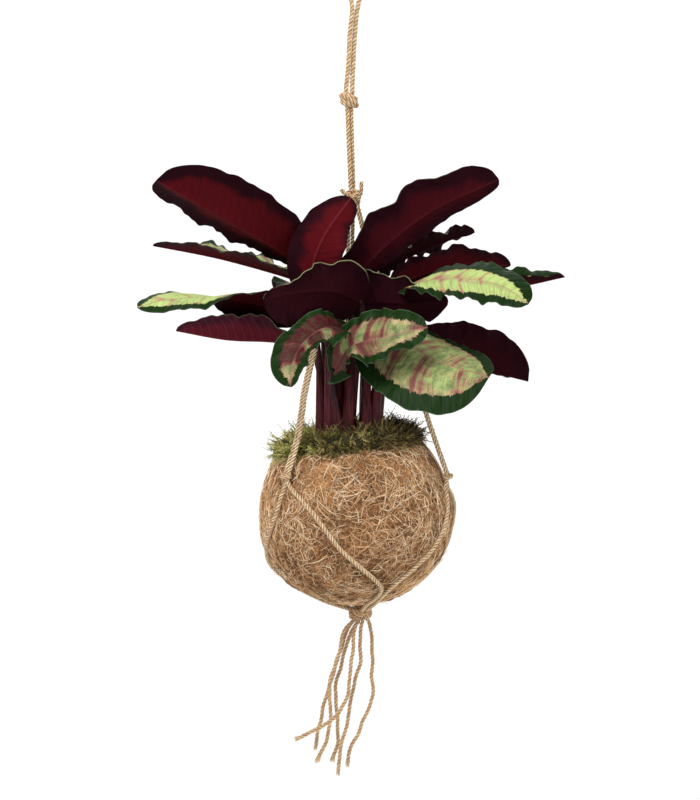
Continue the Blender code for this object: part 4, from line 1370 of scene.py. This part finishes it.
# Points of the ball's wall from its bottom to its lip, down inside it, and round it.
WALL_OUTER_ROWS, WALL_INNER_ROWS, WALL_COLUMNS = 90, 12, 180

# The reach of the loose fibres, as angles about the ball's middle, and a fibre's radius along it.
SHORT_FIBRE, LONG_FIBRE = 0.19, 0.36
FIBRE_TAPER = np.array((0.6, 1, 1, 1, 0.5))

# The mound under the tufts is drawn in from the ball's edge, and is lower than their tips.
MOUND_ROWS, MOUND_COLUMNS = 40, 90
MOUND_REACH, MOUND_TOP = 49, 66

# A moss stem's radii from root to tip, in millimetres.
STEM_TAPER = np.array((0.26, 0.36, 0.34, 0.14))


def lumpy(points, luck, coarse, fine):
    """How far each point of a surface stands out, from two bands of waves."""
    lumps = np.zeros(points.shape[:-1])
    for height, waves, count in ((coarse, 0.09, 26), (fine, 0.5, 40)):
        for _ in range(count):
            lumps += np.sin(points @ (luck.normal(size=3) * waves) + luck.uniform(0, 6.28)) * height
    return lumps


def turned(section, count):
    """A grid of points, made by turning a section round the ball's own axis."""
    return round_axis(np.linspace(0, TAU, count, endpoint=False), section[:, :1], section[:, 1:])


class CALATHEA_OT_fibre_ball(bpy.types.Operator):
    """Hollow ball of pressed coconut fibre, with loose fibres matted over it"""

    bl_idname = "calathea.fibre_ball"
    bl_label = "Fibre ball"
    bl_options = {"REGISTER", "UNDO"}

    def execute(self, context):
        looks = context.scene.calathea.pot
        luck = np.random.default_rng(80)
        self.press_wall(looks, luck)
        self.mat_fibres("coir_short_fibres", looks.fibres // 2, SHORT_FIBRE, looks, luck)
        self.mat_fibres("coir_long_fibres", looks.fibres // 2, LONG_FIBRE, looks, luck)
        return {"FINISHED"}

    def press_wall(self, looks, luck):
        rise = np.linspace(-math.pi / 2 + 0.02, math.asin(RIM_HEIGHT / BALL_ABOVE), WALL_OUTER_ROWS)
        depth = np.where(rise < 0, BALL_BELOW, BALL_ABOVE)
        outer = np.stack([BALL_RADIUS * np.cos(rise), depth * np.sin(rise)], axis=1)
        radius, height = BALL_RADIUS - BALL_WALL, BALL_ABOVE - BALL_WALL
        lip = math.asin(RIM_HEIGHT / height)
        rise = np.linspace(lip, lip - 0.5, WALL_INNER_ROWS)
        inner = np.stack([radius * np.cos(rise), height * np.sin(rise)], axis=1)
        grid = turned(np.vstack([outer, inner]), WALL_COLUMNS)
        proud = lumpy(grid, luck, 0.2, 0.06) - 0.6
        for azimuth, elevation, across, deep in DENTS:
            middle = (on_ball(azimuth, elevation, 0) - BALL_CENTRE) @ BALL_TILT
            proud -= deep * np.exp(-(((grid - middle) ** 2).sum(-1) / across**2))
        grid = grid + unit(grid) * proud[..., None]
        rows, columns = grid.shape[:2]
        flat = grid.reshape(-1, 3)
        tone = np.zeros_like(flat)
        tone[:, 0] = np.clip(-flat[:, 2] / BALL_BELOW, 0, 1)
        bottom = np.arange(columns)[None, ::-1]
        shape = Shape()
        shape.add(
            BALL_CENTRE + ball_turn(flat), [grid_quads(rows, columns, False, True), bottom], flat, tone,
        )
        shape.fit("coir_ball", looks, (matted_coir,), "coir", "coir_pot")

    def mat_fibres(self, name, count, reach, looks, luck):
        """A layer of curved fibres on the ball. reach is the longest, as an angle about its centre."""
        way = unit(luck.normal(size=(count, 3)))
        low = np.clip(-way[:, 2:] * 1.6, 0, 1)
        # Round the bottom the fibres were drawn one way, and elsewhere they lie every way.
        drawn = np.array((0.75, 0.2, 0.55)) * np.sign(luck.uniform(-0.15, 1, (count, 1)))
        heading = square_to(luck.normal(size=(count, 3)) * (1 - 0.4 * low) + drawn * 0.7 * low, way)
        sideways = np.cross(way, heading)
        reach = luck.uniform(0.25, 1, (count, 1)) * reach
        bend = luck.normal(size=(count, 1)) * 0.85 / reach
        share = np.linspace(-0.5, 0.5, len(FIBRE_TAPER))[None]
        swing = (reach * share)[..., None]
        line = way[:, None] * np.cos(swing) + heading[:, None] * np.sin(swing)
        line = unit(line + sideways[:, None] * (bend[..., None] * swing**2))
        lift = 0.1 + luck.uniform(0, 0.8, (count, 1)) - 2.0 * np.abs(share) ** 4
        # A few fibres stray off the mat at one end.
        stray = luck.uniform(0, 1, (count, 1)) > 0.985
        straying = 14 * np.clip(share, 0, 1) ** 2 * luck.uniform(0.2, 1, (count, 1))
        lift = np.where(stray, lift + straying, lift)
        fibres = ball_surface(line, lift)
        kept = fibres[..., 2].max(axis=1) < RIM_HEIGHT + 1.0
        stout = luck.beta(1.2, 3.0, (count, 1))
        radii = (0.13 + 0.23 * stout)[kept] * FIBRE_TAPER
        patch = lumpy(way * 70, luck, 0.03, 0.0)[:, None]
        # Fibres are darker towards the bottom of the ball: painted shade on its underside.
        pale = luck.beta(0.8, 1.0, (count, 1)) * 0.9 + 0.2 * stout - 0.12 * low + patch - 0.08
        tone = np.repeat(pale[kept], 3, axis=1)
        shape = Shape()
        shape.tubes(BALL_CENTRE + ball_turn(fibres[kept]), radii, 3, way[kept][:, None], tone)
        shape.fit(name, looks, (loose_coir,), "coir")


class CALATHEA_OT_soil(bpy.types.Operator):
    """Potting soil under the moss"""

    bl_idname = "calathea.soil"
    bl_label = "Soil"
    bl_options = {"REGISTER", "UNDO"}

    def execute(self, context):
        soil = shared(potting_soil)
        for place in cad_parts["soil"].material_slots:
            place.material = soil
        return {"FINISHED"}


class CALATHEA_OT_moss(bpy.types.Operator):
    """Moss packed round the stalks"""

    bl_idname = "calathea.moss"
    bl_label = "Moss"
    bl_options = {"REGISTER", "UNDO"}

    def execute(self, context):
        looks = context.scene.calathea.pot
        luck = np.random.default_rng(90)
        shape = Shape()
        self.pack_mound(shape, luck)
        shape.fit("moss_mound", looks, (living_moss,), "moss", "moss")
        for piece, (outer, inner) in {"moss_rim_tufts": (0, 3.2), "moss_crown_tufts": (3.2, 8)}.items():
            shape = Shape()
            self.grow_tufts(shape, looks.moss_tufts // 2, outer, inner, luck)
            shape.fit(piece, looks, (living_moss,), "moss")
        return {"FINISHED"}

    def pack_mound(self, shape, luck):
        section = (*MOSS_SECTION, MOSS_SECTION[0])
        section = read_along(np.linspace(0, 1, MOUND_ROWS), np.linspace(0, 1, len(section)), section)[:-1]
        grid = turned(np.minimum(section, (MOUND_REACH, MOUND_TOP)), MOUND_COLUMNS)
        grid = grid + unit(grid) * (lumpy(grid, luck, 0.3, 0.08) - 0.5)[..., None]
        quads = grid_quads(*grid.shape[:2], True, True)
        # The mound is painted near black: painted shade under the tufts.
        shape.add(BALL_CENTRE + ball_turn(grid.reshape(-1, 3)), [quads], 0, (0.06, 0.5, 0))

    def grow_tufts(self, shape, tufts, outer, inner, luck):
        """Curved stems set with small leaves, rooted in tufts along a stretch of the mound's profile."""
        each, rings, leaflets = 8, len(STEM_TAPER), 8
        drawn = outer + luck.uniform(0, 1, tufts) ** 1.2 * (inner - outer)
        out, height = read_along(drawn, np.arange(len(MOUND_PROFILE)), MOUND_PROFILE).T
        turn = luck.uniform(0, TAU, tufts)
        root = round_axis(turn, out, height - 2.5)
        lean = np.clip((out - 38) / 14, 0, 1)[:, None]
        lead = round_axis(turn, 1, 0) * lean * 0.8 + UP * (1.05 - lean) + luck.normal(size=(tufts, 3)) * 0.4
        size = 3.0 + 5.5 * luck.beta(1.4, 2.2, (tufts, 1))
        # Lighter on the left side: painted light where the key light falls.
        light = luck.beta(0.9, 1.2, (tufts, 1)) + 0.08 - 0.3 * np.cos(turn)[:, None]
        # Browner at the drier right side, and in single dead tufts anywhere.
        dead = 0.5 + 0.75 * np.cos(turn + 0.35)[:, None] + luck.normal(size=(tufts, 1)) * 0.4
        dead = np.clip(dead - 0.2, 0, 1)

        count = tufts * each
        root = np.repeat(root, each, axis=0) + luck.normal(size=(count, 3)) * 1.1
        lead = unit(np.repeat(unit(lead), each, axis=0) + luck.normal(size=(count, 3)) * 0.42)
        curl = luck.uniform(-1.3, 1.3, (count, 3)) - UP * 0.25
        lengths = np.repeat(size, each, axis=0) * luck.uniform(0.6, 1.15, (count, 1))
        share = np.linspace(0, 1, rings)[None, :, None]
        strands = root[:, None] + (lead[:, None] * share + curl[:, None] * share**2) * lengths[:, None]
        strands = BALL_CENTRE + ball_turn(strands)
        radii = STEM_TAPER * luck.uniform(0.6, 1.4, (count, 1))
        light = np.repeat(light, each, axis=0) * 0.75 + luck.uniform(-0.2, 0.1, (count, 1))
        tone = np.zeros((count, rings, 3))
        # Lighter towards each stem's tip: green tips, and painted light on the tips over painted shade at the
        # roots.
        tone[..., 0] = light + 0.45 * share[..., 0]
        tone[..., 1] = np.repeat(dead, each, axis=0)
        shape.tubes(strands, radii, 3, luck.normal(size=(count, 1, 3)), tone)

        # Each leaflet is one triangle, on alternate sides of its stem.
        places = np.linspace(0.25, 1.0, leaflets)
        low = np.minimum((places * (rings - 1)).astype(int), rings - 2)
        part = (places * (rings - 1) - low)[None, :, None]
        stem = strands[:, low] * (1 - part) + strands[:, low + 1] * part
        way = unit(strands[:, low + 1] - strands[:, low])
        flank = unit(np.cross(way, luck.normal(size=(count, 1, 3))))
        flank = flank * np.where(np.arange(leaflets) % 2, 1, -1)[:, None]
        long = luck.uniform(0.8, 1.9, (count, leaflets, 1))
        tips = stem + (flank + way * 0.7) * long
        wide = way * 0.45
        corners = np.stack([stem - wide, stem + wide, tips], axis=2).reshape(-1, 3)
        tones = np.empty((count, leaflets, 3, 3))
        # Leaflets too are lighter towards the tip, with the same painted light.
        tones[..., 0] = (light + 0.35 * places)[..., None] + np.array((0, 0, 0.12))
        tones[..., 1:] = tone[:, :1, None, 1:]
        triangles = np.arange(len(corners)).reshape(-1, 3)
        shape.add(corners, [triangles], 0, tones.reshape(-1, 3))


class CALATHEA_OT_stalks(bpy.types.Operator):
    """Eighteen leaf stalks"""

    bl_idname = "calathea.stalks"
    bl_label = "Leaf stalks"
    bl_options = {"REGISTER", "UNDO"}

    def execute(self, context):
        for name, leaf in LEAVES.items():
            add_stalk(name, leaf, context.scene.calathea.leaf)
        return {"FINISHED"}


class CALATHEA_OT_blades(bpy.types.Operator):
    """Eighteen leaf blades"""

    bl_idname = "calathea.blades"
    bl_label = "Leaf blades"
    bl_options = {"REGISTER", "UNDO"}

    def execute(self, context):
        for number, (name, leaf) in enumerate(LEAVES.items(), 1):
            add_blade(name, leaf, context.scene.calathea.leaf, number)
        return {"FINISHED"}


PIECES = (
    CALATHEA_OT_stage, CALATHEA_OT_hanging_loop, CALATHEA_OT_tails, CALATHEA_OT_knots, CALATHEA_OT_arms,
    CALATHEA_OT_net, CALATHEA_OT_fibre_ball, CALATHEA_OT_soil, CALATHEA_OT_moss, CALATHEA_OT_stalks,
    CALATHEA_OT_blades,
)


class CALATHEA_PT_panel(bpy.types.Panel):
    """Everything that builds the hanging calathea"""

    bl_idname = "CALATHEA_PT_panel"
    bl_label = "Hanging Calathea"
    bl_space_type = "VIEW_3D"
    bl_region_type = "UI"
    bl_category = "Calathea"

    def draw(self, context):
        for piece in PIECES:
            self.layout.operator(piece.bl_idname)
        settings = context.scene.calathea
        for group in (settings.leaf, settings.pot, settings.rope, settings.stage):
            box = self.layout.box()
            for name in group.__annotations__:
                box.prop(group, name)


CLASSES = (
    LeafSettings, PotSettings, RopeSettings, StageSettings, CalatheaSettings, *PIECES, CALATHEA_PT_panel,
)


def register():
    for made in CLASSES:
        bpy.utils.register_class(made)
    bpy.types.Scene.calathea = PointerProperty(type=CalatheaSettings)


def unregister():
    del bpy.types.Scene.calathea
    for made in reversed(CLASSES):
        bpy.utils.unregister_class(made)


def main():
    register()
    for piece in PIECES:
        group, name = piece.bl_idname.split(".")
        getattr(getattr(bpy.ops, group), name)()


if __name__ == "__main__":
    main()
